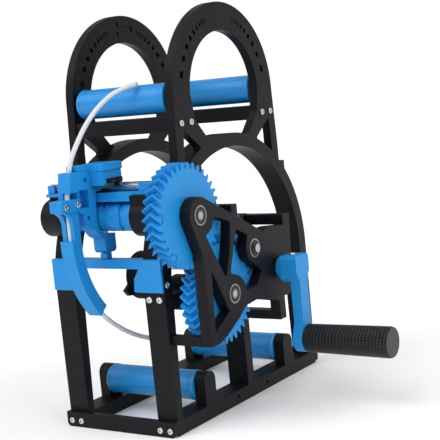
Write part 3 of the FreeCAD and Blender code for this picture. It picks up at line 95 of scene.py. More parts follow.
def camera_turn(azimuth, height_angle, roll):
    """The camera's right, up and backward directions as a rotation matrix, rolled in radians."""
    back = direction(azimuth, height_angle)
    right = direction(azimuth + 90, 0)
    up = back.cross(right)
    tilted_right = math.cos(roll) * right + math.sin(roll) * up
    tilted_up = math.cos(roll) * up - math.sin(roll) * right
    return Matrix((tilted_right, tilted_up, back)).transposed()


camera = put_in_scene("camera", bpy.data.cameras.new("camera"))
camera.data.lens = CAMERA_LENS
camera.matrix_world = Matrix.Translation(CAMERA_PLACE) @ camera_turn(
    CAMERA_AZIMUTH, CAMERA_HEIGHT_ANGLE, CAMERA_ROLL
).to_4x4()
scene.camera = camera
print("camera at", tuple(round(v, 3) for v in camera.location))

# %% [markdown]
# ## Nodes and colours
#
# Materials and Geometry Nodes are both trees of nodes. One helper adds a node, gives it its settings
# and fills its inputs: a plain value is typed in, and another node is linked. Colours are written as a
# picture editor shows them, and a second helper turns them into the linear values that light needs.


# %% Helpers for nodes and colours
def add(tree, kind, inputs=None, **settings):
    """Add a node. Inputs map a socket to a value, an output, a node whose first output is meant,
    or a list of these for a socket that takes several."""
    node = tree.nodes.new(kind)
    for name, value in settings.items():
        setattr(node, name, value)
    for socket, given in (inputs or {}).items():
        for value in given if isinstance(given, list) else [given]:
            if isinstance(value, bpy.types.Node):
                value = value.outputs[0]
            if isinstance(value, bpy.types.NodeSocket):
                tree.links.new(value, node.inputs[socket])
            else:
                node.inputs[socket].default_value = value
    return node


def srgb(hex_colour):
    """The linear colour that Blender works with, from a hex value as a picture editor shows it."""
    parts = [int(hex_colour[i : i + 2], 16) / 255 for i in (1, 3, 5)]
    linear = [c / 12.92 if c <= 0.04045 else ((c + 0.055) / 1.055) ** 2.4 for c in parts]
    return (*linear, 1)


def new_material(name):
    """An empty material and its tree."""
    material = bpy.data.materials.new(name)
    material.use_nodes = True
    material.node_tree.nodes.clear()
    return material, material.node_tree


print("a middle grey is", round(srgb("#808080")[0], 3), "in linear light")

# %% [markdown]
# ## Printed plastic
#
# Nearly every part is PLA laid down in layers. A wall shows a fine ridge for each layer, and a flat top
# shows the beads of its last layer side by side, at 45 degrees. A picture of a print could be wrapped
# round each part, but the Wave texture draws parallel bands at their real size on any shape, and the
# surface's own direction chooses between ridges and beads. Real layers are 0.2 mm thick, too fine for
# a picture of the whole machine, so the ridges are drawn 0.8 mm apart.

# %% Build a printed plastic
LAYER_SPACING = 0.8 * MM
BEAD_SPACING = 0.9 * MM
LAYER_RIDGE = 0.10 * MM
BEAD_ANGLE = math.radians(45)
CLOUD_SIZE = 14 * MM
FLAT_TOP = 0.95
PLA_IOR = 1.46
NEXT_AXIS = {"X": "Y", "Y": "Z", "Z": "X"}


def wave_scale(spacing):
    """The Wave texture repeats every pi / 10 of its scaled length."""
    return math.pi / 10 / spacing


def printed_plastic(name, colour, shade, roughness, axis="X", ridge=LAYER_RIDGE, shine=0.5):
    """Plastic laid down in layers along an axis, in two close tones that drift into each other."""
    material, tree = new_material(name)
    place = add(tree, "ShaderNodeTexCoord")
    layers = add(
        tree, "ShaderNodeTexWave",
        {"Vector": place.outputs["Object"], "Scale": wave_scale(LAYER_SPACING), "Distortion": 0.4},
        bands_direction=axis,
    )
    turned = tuple(BEAD_ANGLE if axis == own else 0 for own in "XYZ")
    bead_place = add(
        tree, "ShaderNodeMapping", {"Vector": place.outputs["Object"], "Rotation": turned}
    )
    beads = add(
        tree, "ShaderNodeTexWave",
        {"Vector": bead_place, "Scale": wave_scale(BEAD_SPACING), "Distortion": 0.3},
        bands_direction=NEXT_AXIS[axis],
    )
    facing = add(tree, "ShaderNodeSeparateXYZ", {0: place.outputs["Normal"]})
    size = add(tree, "ShaderNodeMath", {0: facing.outputs[axis]}, operation="ABSOLUTE")
    flat_top = add(tree, "ShaderNodeMath", {0: size, 1: FLAT_TOP}, operation="GREATER_THAN")
    pattern = add(
        tree, "ShaderNodeMix", {0: flat_top, 2: layers.outputs["Fac"], 3: beads.outputs["Fac"]}
    )
    cloud = add(
        tree, "ShaderNodeTexNoise",
        {"Vector": place.outputs["Object"], "Scale": 1 / CLOUD_SIZE, "Detail": 3.0},
    )
    tone = add(
        tree, "ShaderNodeMix", {0: cloud, 6: srgb(colour), 7: srgb(shade)}, data_type="RGBA"
    )
    gloss = add(
        tree, "ShaderNodeMapRange",
        {"Value": cloud, "To Min": roughness - 0.05, "To Max": roughness + 0.07},
    )
    bump = add(tree, "ShaderNodeBump", {"Height": pattern, "Strength": 0.35, "Distance": ridge})
    shader = add(
        tree, "ShaderNodeBsdfPrincipled",
        {"Base Color": tone.outputs[2], "Roughness": gloss, "Normal": bump, "IOR": PLA_IOR,
         "Specular IOR Level": shine},
    )
    add(tree, "ShaderNodeOutputMaterial", {"Surface": shader})
    return material


# PLA, printed: a satin skin whose layers draw soft stripes of light. Long bars were printed lying, so
# their layers run along Z. The rollers were printed finer, and their round walls shine more.
BLUE_TONES = ("#1c8ed6", "#1985cb")
BLACK_TONES = ("#111014", "#0d0c10")
blue_pla = printed_plastic("printed_blue_pla", *BLUE_TONES, 0.42, shine=0.35)
blue_pla_long = printed_plastic("printed_blue_pla_lying", *BLUE_TONES, 0.42, axis="Z", shine=0.35)
black_pla = printed_plastic("printed_black_pla", *BLACK_TONES, 0.44, shine=0.2)
black_pla_long = printed_plastic("printed_black_pla_lying", *BLACK_TONES, 0.44, axis="Z", shine=0.2)
blue_round = printed_plastic("printed_blue_pla_roller", *BLUE_TONES, 0.3, shine=0.5)
print("printed plastics:", blue_pla.name, black_pla.name)

# %% [markdown]
# ## Rubber and moulded plastic
#
# The grip is moulded, so it has no layers, only a fine grain, and it shines a little. The bearings have
# seals of dull rubber. Both could have a tree of their own, but the printed plastic does for them once
# its ridges are a tenth as high, which leaves a grain that the eye reads as moulded.

# %% Rubber and moulded plastic
GRAIN = 0.01 * MM

# Moulded plastic: near black, closed and smooth, with a clear soft highlight on each pad.
grip_rubber = printed_plastic("moulded_grip", "#0f0e12", "#0b0a0e", 0.28, ridge=GRAIN, shine=0.4)
# Rubber: dark grey and dull, so that a bearing's two steel rings stand out from its seal.
seal_rubber = printed_plastic("bearing_seal_rubber", "#26262a", "#1d1d20", 0.55, ridge=GRAIN)
print("moulded:", grip_rubber.name, seal_rubber.name)

# %% [markdown]
# ## Steel
#
# Screws, rods and bearings are bright steel with fine lines where they were turned or ground. A plain
# metallic shader would look like a mirror. Lines across the length and a smudge of noise in the gloss
# break the highlight up, as handling does. Real turning lines are about 0.05 mm apart, too fine to
# show, so they are drawn 0.35 mm or more apart.

# %% Metals
LINE_SPACING = 0.35 * MM
LINE_HEIGHT = 0.02 * MM
SMUDGE_SIZE = 6 * MM


def turned_steel(name, colour, roughness, line_spacing=LINE_SPACING):
    """Bright metal with fine turning lines across its length."""
    material, tree = new_material(name)
    place = add(tree, "ShaderNodeTexCoord")
    lines = add(
        tree, "ShaderNodeTexWave",
        {"Vector": place.outputs["Object"], "Scale": wave_scale(line_spacing), "Distortion": 2.0},
        bands_direction="X",
    )
    smudge = add(
        tree, "ShaderNodeTexNoise",
        {"Vector": place.outputs["Object"], "Scale": 1 / SMUDGE_SIZE, "Detail": 4.0},
    )
    gloss = add(
        tree, "ShaderNodeMapRange",
        {"Value": smudge, "To Min": roughness - 0.06, "To Max": roughness + 0.1},
    )
    bump = add(
        tree, "ShaderNodeBump",
        {"Height": lines.outputs["Fac"], "Strength": 0.12, "Distance": LINE_HEIGHT},
    )
    shader = add(
        tree, "ShaderNodeBsdfPrincipled",
        {"Base Color": srgb(colour), "Metallic": 1.0, "Roughness": gloss, "Normal": bump},
    )
    add(tree, "ShaderNodeOutputMaterial", {"Surface": shader})
    return material


# Nickel plate on screws: pale and even. Ground rod: darker and smoother, with long clear highlights.
plated_steel = turned_steel("nickel_plated_steel", "#d3d4d6", 0.24)
ground_steel = turned_steel("ground_steel_rod", "#a9acb2", 0.16, line_spacing=0.5 * MM)
# Bearing steel: a warmer grey under a film of oil. Gold plate on the small pins: pale yellow.
bearing_steel = turned_steel("bearing_steel", "#8d8a86", 0.3)
gold_pin = turned_steel("gold_plated_pin", "#d9c48a", 0.25)
print("metals:", plated_steel.name, ground_steel.name, bearing_steel.name, gold_pin.name)

# %% [markdown]
# ## The guide tube's plastic
#
# The tube is extruded PTFE: white and waxy, and light goes a little way into it, so its shaded side
# never turns quite grey. Glass-like transmission would show the far wall too clearly. Subsurface light
# with a reach of about a millimetre gives the milky look, and a slow haze varies its white.

# %% The tube's plastic
HAZE_SIZE = 5 * MM
LIGHT_REACH = 1.2 * MM
PTFE_IOR = 1.38


def milky_tube(name):
    """PTFE: white, waxy and slightly see-through."""
    material, tree = new_material(name)
    place = add(tree, "ShaderNodeTexCoord")
    haze = add(
        tree, "ShaderNodeTexNoise",
        {"Vector": place.outputs["Object"], "Scale": 1 / HAZE_SIZE, "Detail": 2.0},
    )
    tone = add(
        tree, "ShaderNodeMix", {0: haze, 6: srgb("#d9dce1"), 7: srgb("#c9cdd4")}, data_type="RGBA"
    )
    shader = add(
        tree, "ShaderNodeBsdfPrincipled",
        {"Base Color": tone.outputs[2], "Roughness": 0.3, "IOR": PTFE_IOR,
         "Subsurface Weight": 0.35, "Subsurface Radius": (LIGHT_REACH,) * 3,
         "Subsurface Scale": 1.0},
    )
    add(tree, "ShaderNodeOutputMaterial", {"Surface": shader})
    return material


# PTFE, extruded: white and waxy, with a soft passage from its light side to its shaded side.
ptfe = milky_tube("milky_ptfe_tube")
print("tube:", ptfe.name)

# %% [markdown]
# ## The circuit board
#
# A small board sits on the counter's box. Its copper lines lie under a green lacquer and stand up a
# little. They could be drawn one by one, but at this size the eye only wants short lines that meet at
# right angles, and the joints of a Brick texture are just that.

# %% The board's lacquer
TRACK_PITCH = 2.5 * MM
TRACK_HEIGHT = 0.05 * MM
LACQUER_IOR = 1.5


def solder_mask(name):
    """Glossy green lacquer with the raised copper lines under it."""
    material, tree = new_material(name)
    place = add(tree, "ShaderNodeTexCoord")
    tracks = add(
        tree, "ShaderNodeTexBrick",
        {"Vector": place.outputs["Object"], "Scale": 1 / TRACK_PITCH, "Mortar Size": 0.06,
         "Color1": srgb("#07331f"), "Color2": srgb("#083a24"), "Mortar": srgb("#125536")},
    )
    bump = add(
        tree, "ShaderNodeBump",
        {"Height": tracks.outputs["Fac"], "Strength": 0.3, "Distance": TRACK_HEIGHT},
    )
    shader = add(
        tree, "ShaderNodeBsdfPrincipled",
        {"Base Color": tracks.outputs["Color"], "Roughness": 0.25, "Normal": bump,
         "IOR": LACQUER_IOR},
    )
    add(tree, "ShaderNodeOutputMaterial", {"Surface": shader})
    return material


# Lacquer over copper: a dark green gloss, in which the lines show a little lighter.
green_board = solder_mask("green_solder_mask")
print("board:", green_board.name)

# %% [markdown]
# ## The floor
#
# The winder stands on a sheet of white paper. A real sheet would curve up behind it. A flat one that is
# very much larger than the view looks the same, as long as it meets a white sky. It lies a hair below
# the base, so that the two surfaces don't fight for the same place.

# %% The white floor
FLOOR_SIZE = 40.0
FLOOR_GAP = 0.3 * MM


def white_floor():
    """A square of paper under the winder: matt and nearly white, so it shows shadows and no shine."""
    half = FLOOR_SIZE / 2
    corners = [(-half, -half), (half, -half), (half, half), (-half, half)]
    mesh = bpy.data.meshes.new("floor")
    mesh.from_pydata([(x, y, -FLOOR_GAP) for x, y in corners], [], [(0, 1, 2, 3)])
    material, tree = new_material("white_paper_sweep")
    shader = add(
        tree, "ShaderNodeBsdfPrincipled", {"Base Color": srgb("#fdfdfd"), "Roughness": 0.9}
    )
    add(tree, "ShaderNodeOutputMaterial", {"Surface": shader})
    mesh.materials.append(material)
    floor = put_in_scene("floor", mesh)
    return floor


print("floor:", white_floor().dimensions.x, "m wide")

# %% [markdown]
# ## The light
#
# The photograph has wide, soft studio light from the left front and from the right. Area lamps would
# do, but they leave a bright pool on the floor. A sun lamp with a large angle gives the same soft
# shadows and lights the floor evenly. The sky is white where the camera looks and dimmer as a light,
# so that black parts stay black.


# %% Lamps and sky
def soft_lamp(name, azimuth, height_angle, strength, width):
    """A broad lamp that shines from a compass direction and a height."""
    lamp = put_in_scene(name, bpy.data.lights.new(name, "SUN"))
    lamp.data.energy = strength
    lamp.data.angle = math.radians(width)
    lamp.rotation_euler = direction(azimuth, height_angle).to_track_quat("Z", "Y").to_euler()
    return lamp


def studio_sky(seen, strength):
    """White where the camera looks, with its own strength as a light."""
    world = bpy.data.worlds.new("studio")
    world.use_nodes = True
    tree = world.node_tree
    tree.nodes.clear()
    ray = add(tree, "ShaderNodeLightPath")
    level = add(tree, "ShaderNodeMix", {0: ray.outputs["Is Camera Ray"], 2: strength, 3: seen})
    sky = add(tree, "ShaderNodeBackground", {"Color": srgb("#ffffff"), "Strength": level})
    add(tree, "ShaderNodeOutputWorld", {"Surface": sky})
    scene.world = world


key = soft_lamp("key_lamp", azimuth=-20, height_angle=50, strength=1.75, width=50)
right = soft_lamp("right_lamp", azimuth=95, height_angle=35, strength=1.3, width=60)
studio_sky(seen=1.0, strength=0.5)
scene.view_settings.view_transform = "Standard"
print("lamps:", key.name, right.name)

# %% [markdown]
# ## The guide tube's course
#
# The filament runs through one white tube. Above the clamp it springs up and over the rollers, and
# below the guide arm it bends back towards the spool. It is stiff enough to stand by itself. A Bezier
# curve would need a handle at every point. A NURBS curve only needs a few points near its course, and
# it bends as evenly as the tube does.

# %% The tube's course
ROUTES = {
    "tube_upper": [
        (-0.0030, -0.14323, 0.21980),
        (-0.0028, -0.14133, 0.22684),
        (-0.0020, -0.13313, 0.23924),
        (0.0002, -0.11983, 0.25634),
        (0.0052, -0.10403, 0.27134),
        (0.0124, -0.08863, 0.28084),
        (0.0190, -0.07293, 0.28344),
    ],
    "tube_lower": [
        (-0.0030, -0.12648, 0.10455),
        (-0.0030, -0.12114, 0.09865),
        (-0.0032, -0.10954, 0.08925),
        (-0.0036, -0.09304, 0.07865),
        (-0.0042, -0.07354, 0.06905),
        (-0.0050, -0.05504, 0.06265),
    ],
}
ROUTE_STEPS = 10


def smooth_line(name, route):
    """Points along a NURBS curve through a route."""
    curve = bpy.data.curves.new(name, "CURVE")
    curve.dimensions = "3D"
    curve.resolution_u = ROUTE_STEPS
    spline = curve.splines.new("NURBS")
    spline.points.add(len(route) - 1)
    for point, place in zip(spline.points, route):
        point.co = (*place, 1)
    spline.order_u = 3
    spline.use_endpoint_u = True
    holder = put_in_scene(name, curve)
    bpy.context.view_layer.update()
    line = bpy.data.meshes.new_from_object(holder)
    points = [v.co.copy() for v in line.vertices]
    bpy.data.objects.remove(holder)
    bpy.data.meshes.remove(line)
    return points


def line_length(points):
    return sum((b - a).length for a, b in zip(points, points[1:]))


tube_lines = {node: smooth_line(node + "_line", route) for node, route in ROUTES.items()}
for node, line in tube_lines.items():
    print(node, round(line_length(line) / MM, 1), "mm long")

# %% [markdown]
# ## From points to a piece
#
# A bmesh is Blender's workbench for a mesh: points and faces are made there one by one, and the result
# is copied into mesh data. Tube, grip and drum are all rows of rings, so one helper lays faces between
# two rings. Each piece then goes on its moving body, in the place of the solids that it stands for.

# %% Helpers for pieces
record = frame["record"]
body_of_node = {
    node: body for body, nodes in record["behaviour"]["bodies"].items() for node in nodes
}


def bridge(bm, a, b):
    """Faces between two rings of points. A ring of one point is a tip."""
    sides = max(len(a), len(b))
    for k in range(sides):
        n = (k + 1) % sides
        corners = (a[k % len(a)], a[n % len(a)], b[n % len(b)], b[k % len(b)])
        bm.faces.new(list(dict.fromkeys(corners)))


def mesh_from(name, bm):
    """Mesh data from a bmesh, which is used up."""
    mesh = bpy.data.meshes.new(name)
    bm.to_mesh(mesh)
    bm.free()
    return mesh


def smooth_piece(name, bm, material):
    """An object from a bmesh, smoothly shaded and in one material."""
    mesh = mesh_from(name, bm)
    mesh.shade_smooth()
    mesh.materials.append(material)
    return put_in_scene(name, mesh)


def dress(piece, *nodes):
    """Put a finished piece on the body of the solids it stands for, and hide those solids."""
    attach(piece, body_of_node[nodes[0]])
    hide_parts(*nodes)
    return piece


print(len(body_of_node), "nodes have a body and a slot")

# %% [markdown]
# ## The guide tube
#
# A curve with a round bevel would give a tube without a wall. Rings along the line, one set outside and
# one set inside, give it a real bore, so that its cut ends show a hole. Each ring's sideways direction
# is carried on from the ring before, so the tube doesn't twist.

# %% Make the two free ends
TUBE_RADIUS = 2.0 * MM
TUBE_BORE = 1.0 * MM
TUBE_SIDES = 24


def hollow_tube(name, points, radius, bore, sides):
    """A tube with a wall, as rings along a line."""
    bm = bmesh.new()
    side = Vector((1, 0, 0))
    angles = [2 * math.pi * k / sides for k in range(sides)]
    outer, inner = [], []
    for i, point in enumerate(points):
        ahead = points[min(i + 1, len(points) - 1)] - points[max(i - 1, 0)]
        ahead.normalize()
        side = (side - side.dot(ahead) * ahead).normalized()
        other = ahead.cross(side)
        for reach, rings in ((radius, outer), (bore, inner)):
            places = [point + reach * (math.cos(a) * side + math.sin(a) * other) for a in angles]
            rings.append([bm.verts.new(place) for place in places])
    for rings in (outer, inner):
        for a, b in zip(rings, rings[1:]):
            bridge(bm, a, b)
    for end in (0, -1):
        bridge(bm, outer[end], inner[end])
    bmesh.ops.recalc_face_normals(bm, faces=bm.faces)
    return smooth_piece(name, bm, ptfe)


for node, line in tube_lines.items():
    tube = hollow_tube("guide_" + node, line, TUBE_RADIUS, TUBE_BORE, TUBE_SIDES)
    dress(tube, node)
    print(tube.name, "has", len(tube.data.polygons), "faces")

# %% [markdown]
# ## Printed parts with soft edges
#
# A printed edge is never knife sharp: the bead that draws it is round, and it catches a thin line of
# light. The parts could be modelled again with rounded edges, but their shapes are right already. So
# each solid's mesh is copied, its loose triangles are joined into whole faces, and a Bevel modifier
# rounds every sharp edge by about half a millimetre.

# %% A helper that softens a solid
SHARP_ANGLE = math.radians(32)
FLAT_ANGLE = math.radians(0.4)
MERGE_DISTANCE = 0.004 * MM


def whole_faces(node):
    """A copy of a solid's mesh with its loose triangles joined."""
    bm = bmesh.new()
    bm.from_mesh(frame["nodes"][node].data)
    bmesh.ops.remove_doubles(bm, verts=bm.verts, dist=MERGE_DISTANCE)
    bmesh.ops.dissolve_degenerate(bm, edges=bm.edges, dist=MERGE_DISTANCE)
    bmesh.ops.dissolve_limit(bm, angle_limit=FLAT_ANGLE, verts=bm.verts, edges=bm.edges)
    return bm


def softened(node, material, edge):
    """Copy a solid, round its edges, and let the copy stand for it."""
    piece = smooth_piece("printed_" + node, whole_faces(node), material)
    # The loader stores a normal for each corner, and they no longer fit the joined faces.
    stored_normals = piece.data.attributes.get("custom_normal")
    if stored_normals is not None:
        piece.data.attributes.remove(stored_normals)
    piece.data.set_sharp_from_angle(angle=SHARP_ANGLE)
    bevel = piece.modifiers.new("soft_edges", "BEVEL")
    bevel.width = edge
    bevel.segments = 2
    bevel.limit_method = "ANGLE"
    bevel.angle_limit = SHARP_ANGLE
    bevel.harden_normals = True
    return dress(piece, node)


print("edges sharper than", round(math.degrees(SHARP_ANGLE)), "degrees are rounded")

# %% [markdown]
# ## Which part gets which finish
#
# The big frames have the roundest edges and the gears' teeth the finest, as on the real machine. The
# long bars were printed lying down, so their layers run another way. A list of groups says all of
# this in one place, and a loop does the work.

# %% Soften the printed parts
PRINTED_PARTS = [
    (black_pla, 0.6 * MM,
     ["right_side_frame", "left_side_frame", "right_arch", "left_arch", "gear_bracket"]),
    (black_pla_long, 0.5 * MM,
     ["base_bar_front", "base_bar_rear", "arch_crossbar_front", "arch_crossbar_rear"]),
    (blue_pla_long, 0.5 * MM, ["drum_stretcher", "lower_rail"]),
    (black_pla, 0.35 * MM, ["bracket_spacers", "spool_hub", "clamp_ring"]),
    (blue_pla, 0.5 * MM,
     ["rod_holders", "crank_arm", "carriage_block", "follower_housing", "follower_cap",
      "guide_arm", "tube_clamp", "counter_box", "counter_lid"]),
    (blue_round, 0.5 * MM,
     ["roller_lower_front", "roller_lower_rear", "roller_upper_front", "roller_upper_rear"]),
    (blue_pla, 0.25 * MM, ["upper_gear", "lower_gear", "compound_gear", "crank_pinion"]),
]
for material, edge, nodes in PRINTED_PARTS:
    for node in nodes:
        softened(node, material, edge)
print(sum(len(nodes) for _, _, nodes in PRINTED_PARTS), "printed parts have soft edges")

# %% [markdown]
# ## Pieces that follow a rule
#
# Rows of pads, a pair of crossing grooves, a set of screws and a set of bearings all follow a rule. A
# Python loop could place every point, but a Geometry Nodes tree says the rule once, with a named input
# for each size, and anyone can change a size afterwards. One helper starts a tree, one ends it with
# real geometry in its material, and one runs it on a mesh and keeps the result as a plain mesh.


# %% Helpers for Geometry Nodes
def rule_tree(name, *sizes, **others):
    """An empty tree and its inputs: sizes are numbers, and others map a name to a socket's kind."""
    tree = bpy.data.node_groups.new(name, "GeometryNodeTree")
    tree.interface.new_socket("Geometry", in_out="INPUT", socket_type="NodeSocketGeometry")
    for label, kind in ({size: "Float" for size in sizes} | others).items():
        tree.interface.new_socket(label, in_out="INPUT", socket_type="NodeSocket" + kind)
    tree.interface.new_socket("Geometry", in_out="OUTPUT", socket_type="NodeSocketGeometry")
    return tree, add(tree, "NodeGroupInput").outputs


def close_tree(tree, geometry, material, **marked):
    """End a tree in one material, and in another where an attribute marks the faces."""
    real = add(tree, "GeometryNodeRealizeInstances", {0: geometry})
    done = add(tree, "GeometryNodeSetMaterial", {0: real, "Material": material})
    for name, other in marked.items():
        mark = add(tree, "GeometryNodeInputNamedAttribute", {"Name": name}, data_type="BOOLEAN")
        done = add(
            tree, "GeometryNodeSetMaterial", {0: done, "Selection": mark, "Material": other}
        )
    add(tree, "NodeGroupOutput", {0: done})
    return tree


def grown(name, seed, tree, values):
    """Run a tree on a seed mesh and return the result as a plain mesh object."""
    holder = put_in_scene(name + "_seed", seed)
    modifier = holder.modifiers.new("rule", "NODES")
    modifier.node_group = tree
    for item in tree.interface.items_tree:
        if item.in_out == "INPUT" and item.name in values:
            modifier[item.identifier] = values[item.name]
    bpy.context.view_layer.update()
    ready = holder.evaluated_get(bpy.context.evaluated_depsgraph_get())
    mesh = bpy.data.meshes.new_from_object(ready)
    bpy.data.objects.remove(holder)
    bpy.data.meshes.remove(seed)
    mesh.name = name
    mesh.shade_smooth()
    mesh.set_sharp_from_angle(angle=SHARP_ANGLE)
    return put_in_scene(name, mesh)


print("helpers for rules ready")

# %% [markdown]
# ## Carving a round piece
#
# The grip and the drum are both round bars with a pattern cut into them, as on a lathe. A seed mesh of
# fine rings is the bar, and each of its points carries a mark that says how deep a cut may go there,
# so that the ends stay whole. Displacement in a material could draw the same pattern, but it would not
# be in the mesh. A tree instead works out a depth for each point and pushes it towards the axis.

# %% Helpers for carving
MATH = "ShaderNodeMath"


def lathe(name, profile, axis, sides):
    """A round mesh about an X line from (x, radius, mark) rows, closed where the radius is 0."""
    bm = bmesh.new()
    carved = bm.verts.layers.float.new("carved")
    rings = []
    for x, radius, mark in profile:
        ring = []
        for k in range(sides if radius > 0 else 1):
            angle = 2 * math.pi * k / sides
            spot = (x, axis[0] + radius * math.cos(angle), axis[1] + radius * math.sin(angle))
            ring.append(bm.verts.new(spot))
            ring[-1][carved] = mark
        rings.append(ring)
    for a, b in zip(rings, rings[1:]):
        bridge(bm, a, b)
    bmesh.ops.recalc_face_normals(bm, faces=bm.faces)
    return mesh_from(name, bm)


def around_axis(tree, inputs):
    """Position along X, turns round the piece's axis, and the direction out from that axis."""
    place = add(tree, "ShaderNodeSeparateXYZ", {0: add(tree, "GeometryNodeInputPosition")})
    out_y = add(tree, MATH, {0: place.outputs[1], 1: inputs["Axis Y"]}, operation="SUBTRACT")
    out_z = add(tree, MATH, {0: place.outputs[2], 1: inputs["Axis Z"]}, operation="SUBTRACT")
    angle = add(tree, MATH, {0: out_z, 1: out_y}, operation="ARCTAN2")
    turns = add(tree, MATH, {0: angle, 1: 2 * math.pi}, operation="DIVIDE")
    arm = add(tree, "ShaderNodeCombineXYZ", {1: out_y, 2: out_z})
    outward = add(tree, "ShaderNodeVectorMath", {0: arm}, operation="NORMALIZE")
    return place.outputs[0], turns, outward


def push_in(tree, inputs, outward, depth):
    """Move each point towards the axis, as far as its mark lets the cut go."""
    mark = add(tree, "GeometryNodeInputNamedAttribute", {"Name": "carved"}, data_type="FLOAT")
    length = add(tree, MATH, {0: depth, 1: mark}, operation="MULTIPLY")
    inward = add(tree, MATH, {0: length, 1: -1.0}, operation="MULTIPLY")
    shift = add(tree, "ShaderNodeVectorMath", {0: outward, "Scale": inward}, operation="SCALE")
    return add(tree, "GeometryNodeSetPosition", {0: inputs["Geometry"], "Offset": shift})


print("helpers for carving ready")

# %% [markdown]
# ## Sizes from the solids
#
# A finished piece has to fit its solid exactly, and the solid's own points say where that is. Sizes
# typed in twice would drift apart. The lowest and the highest corner give a round bar's axis, radius
# and ends.


# %% Helpers that measure
def box_of(places):
    """Lowest and highest corner around some points."""
    places = list(places)
    return [Vector([pick(p[i] for p in places) for i in range(3)]) for pick in (min, max)]


def solid_box(node):
    """Lowest and highest corner of a node's solids, at rest."""
    holder = frame["nodes"][node]
    return box_of(holder.matrix_world @ vertex.co for vertex in holder.data.vertices)


def bar_axis(low, high):
    """Where the middle line of a bar along X lies, in Y and Z."""
    return ((low.y + high.y) / 2, (low.z + high.z) / 2)


def stations(low, high, step):
    """Places along X from one end to the other, about a step apart."""
    count = int((high - low) / step)
    return [low + (high - low) * row / count for row in range(count + 1)]


drum_low, drum_high = solid_box("traverse_drum")
print("drum:", round((drum_high.x - drum_low.x) / MM, 1), "mm long")

# %% [markdown]
# ## The ribbed grip
#
# The handle is a black sleeve with rings cut round it and finer furrows cut along it, which leave rows
# of small pads. A copy of one pad on every place would need a seam to its neighbours. Here the tree
# finds how far each point lies from the nearest ring and the nearest furrow, and pushes it in by
# whichever cut is deeper, so the pads stay one skin.

# %% The grip's rule
PAD_PITCH = 3.1 * MM
PAD_ROWS = 30
RING_DEPTH = 0.75 * MM
FURROW_DEPTH = 0.5 * MM


def pad_tree():
    tree, inputs = rule_tree(
        "rows_of_pads", "Pitch", "Ring Depth", "Furrow Depth", "Axis Y", "Axis Z",
        Rows="Int", Material="Material",
    )
    along, turns, outward = around_axis(tree, inputs)
    rings = add(tree, MATH, {0: along, 1: inputs["Pitch"]}, operation="DIVIDE")
    furrows = add(tree, MATH, {0: turns, 1: inputs["Rows"]}, operation="MULTIPLY")
    cuts = []
    for steps, depth in ((rings, inputs["Ring Depth"]), (furrows, inputs["Furrow Depth"])):
        share = add(tree, MATH, {0: steps}, operation="FRACT")
        ramp = add(tree, MATH, {0: share, 1: 2.0, 2: -1.0}, operation="MULTIPLY_ADD")
        away = add(tree, MATH, {0: ramp}, operation="ABSOLUTE")
        valley = add(tree, MATH, {0: away, 1: 2.0}, operation="POWER")
        cuts.append(add(tree, MATH, {0: valley, 1: depth}, operation="MULTIPLY"))
    deepest = add(tree, MATH, {0: cuts[0], 1: cuts[1]}, operation="MAXIMUM")
    return close_tree(tree, push_in(tree, inputs, outward, deepest), inputs["Material"])


pads = pad_tree()
print("rule:", pads.name, "with", len(pads.nodes), "nodes")

# %% [markdown]
# ## The grip's sleeve
#
# The sleeve swells a little towards its outer end, where a cap closes it, and both ends have a small
# chamfer. It turns on an axle, so it has a bore. Sleeve and cap are drawn as one profile, because no
# joint shows between them, and the cuts fade out over the chamfers.

# %% Turn and carve the grip
GRIP_SIDES = 240
GRIP_ROW = 0.31 * MM
GRIP_CHAMFER = 0.8 * MM
GRIP_BORE = 4.1 * MM
GRIP_SWELL = 1.0 * MM


def grip_profile(grip_low, grip_high, tip):
    """Rows of (x, radius, mark) from the bore's end, round the start and out to the cap's tip."""
    end_radius = (grip_high.y - grip_low.y) / 2
    start_radius = end_radius - GRIP_SWELL
    rows = [(grip_high.x, 0, 0), (grip_high.x, GRIP_BORE, 0), (grip_low.x, GRIP_BORE, 0)]
    for x in stations(grip_low.x, tip, GRIP_ROW):
        share = min(1, (x - grip_low.x) / (grip_high.x - grip_low.x))
        edge = min(x - grip_low.x, tip - x)
        radius = start_radius + (end_radius - start_radius) * share - max(0, GRIP_CHAMFER - edge)
        rows.append((x, radius, min(1, edge / GRIP_CHAMFER)))
    return rows + [(tip, end_radius / 2, 0), (tip, 0, 0)]


grip_low, grip_high = solid_box("handle_grip")
grip_axis = bar_axis(grip_low, grip_high)
profile = grip_profile(grip_low, grip_high, solid_box("handle_cap")[1].x)
grip = grown(
    "ribbed_grip", lathe("grip_seed", profile, grip_axis, GRIP_SIDES), pads,
    {"Pitch": PAD_PITCH, "Rows": PAD_ROWS, "Ring Depth": RING_DEPTH, "Furrow Depth": FURROW_DEPTH,
     "Axis Y": grip_axis[0], "Axis Z": grip_axis[1], "Material": grip_rubber},
)
dress(grip, "handle_grip", "handle_cap")
print("grip:", len(grip.data.polygons), "faces")

# %% [markdown]
# ## The traverse drum
#
# The drum has one endless groove that winds to the right, turns and winds back to the left. The pin
# under the carriage follows it, and so lays the filament evenly. A bar swept along a helix could be
# cut out of the drum, but such a cut breaks easily where the two windings cross. The tree measures how
# far each point lies from the right-hand winding and from the left-hand one, and pushes in whatever
# is within the groove's width. Both have the same lead and meet one and a half turns from the middle.

# %% The grooves' rule
GROOVE_LEAD = 17.0 * MM
GROOVE_WIDTH = 2.4 * MM
GROOVE_DEPTH = 1.6 * MM
GROOVE_WALL = 0.35 * MM
GROOVE_TURNS = 1.5


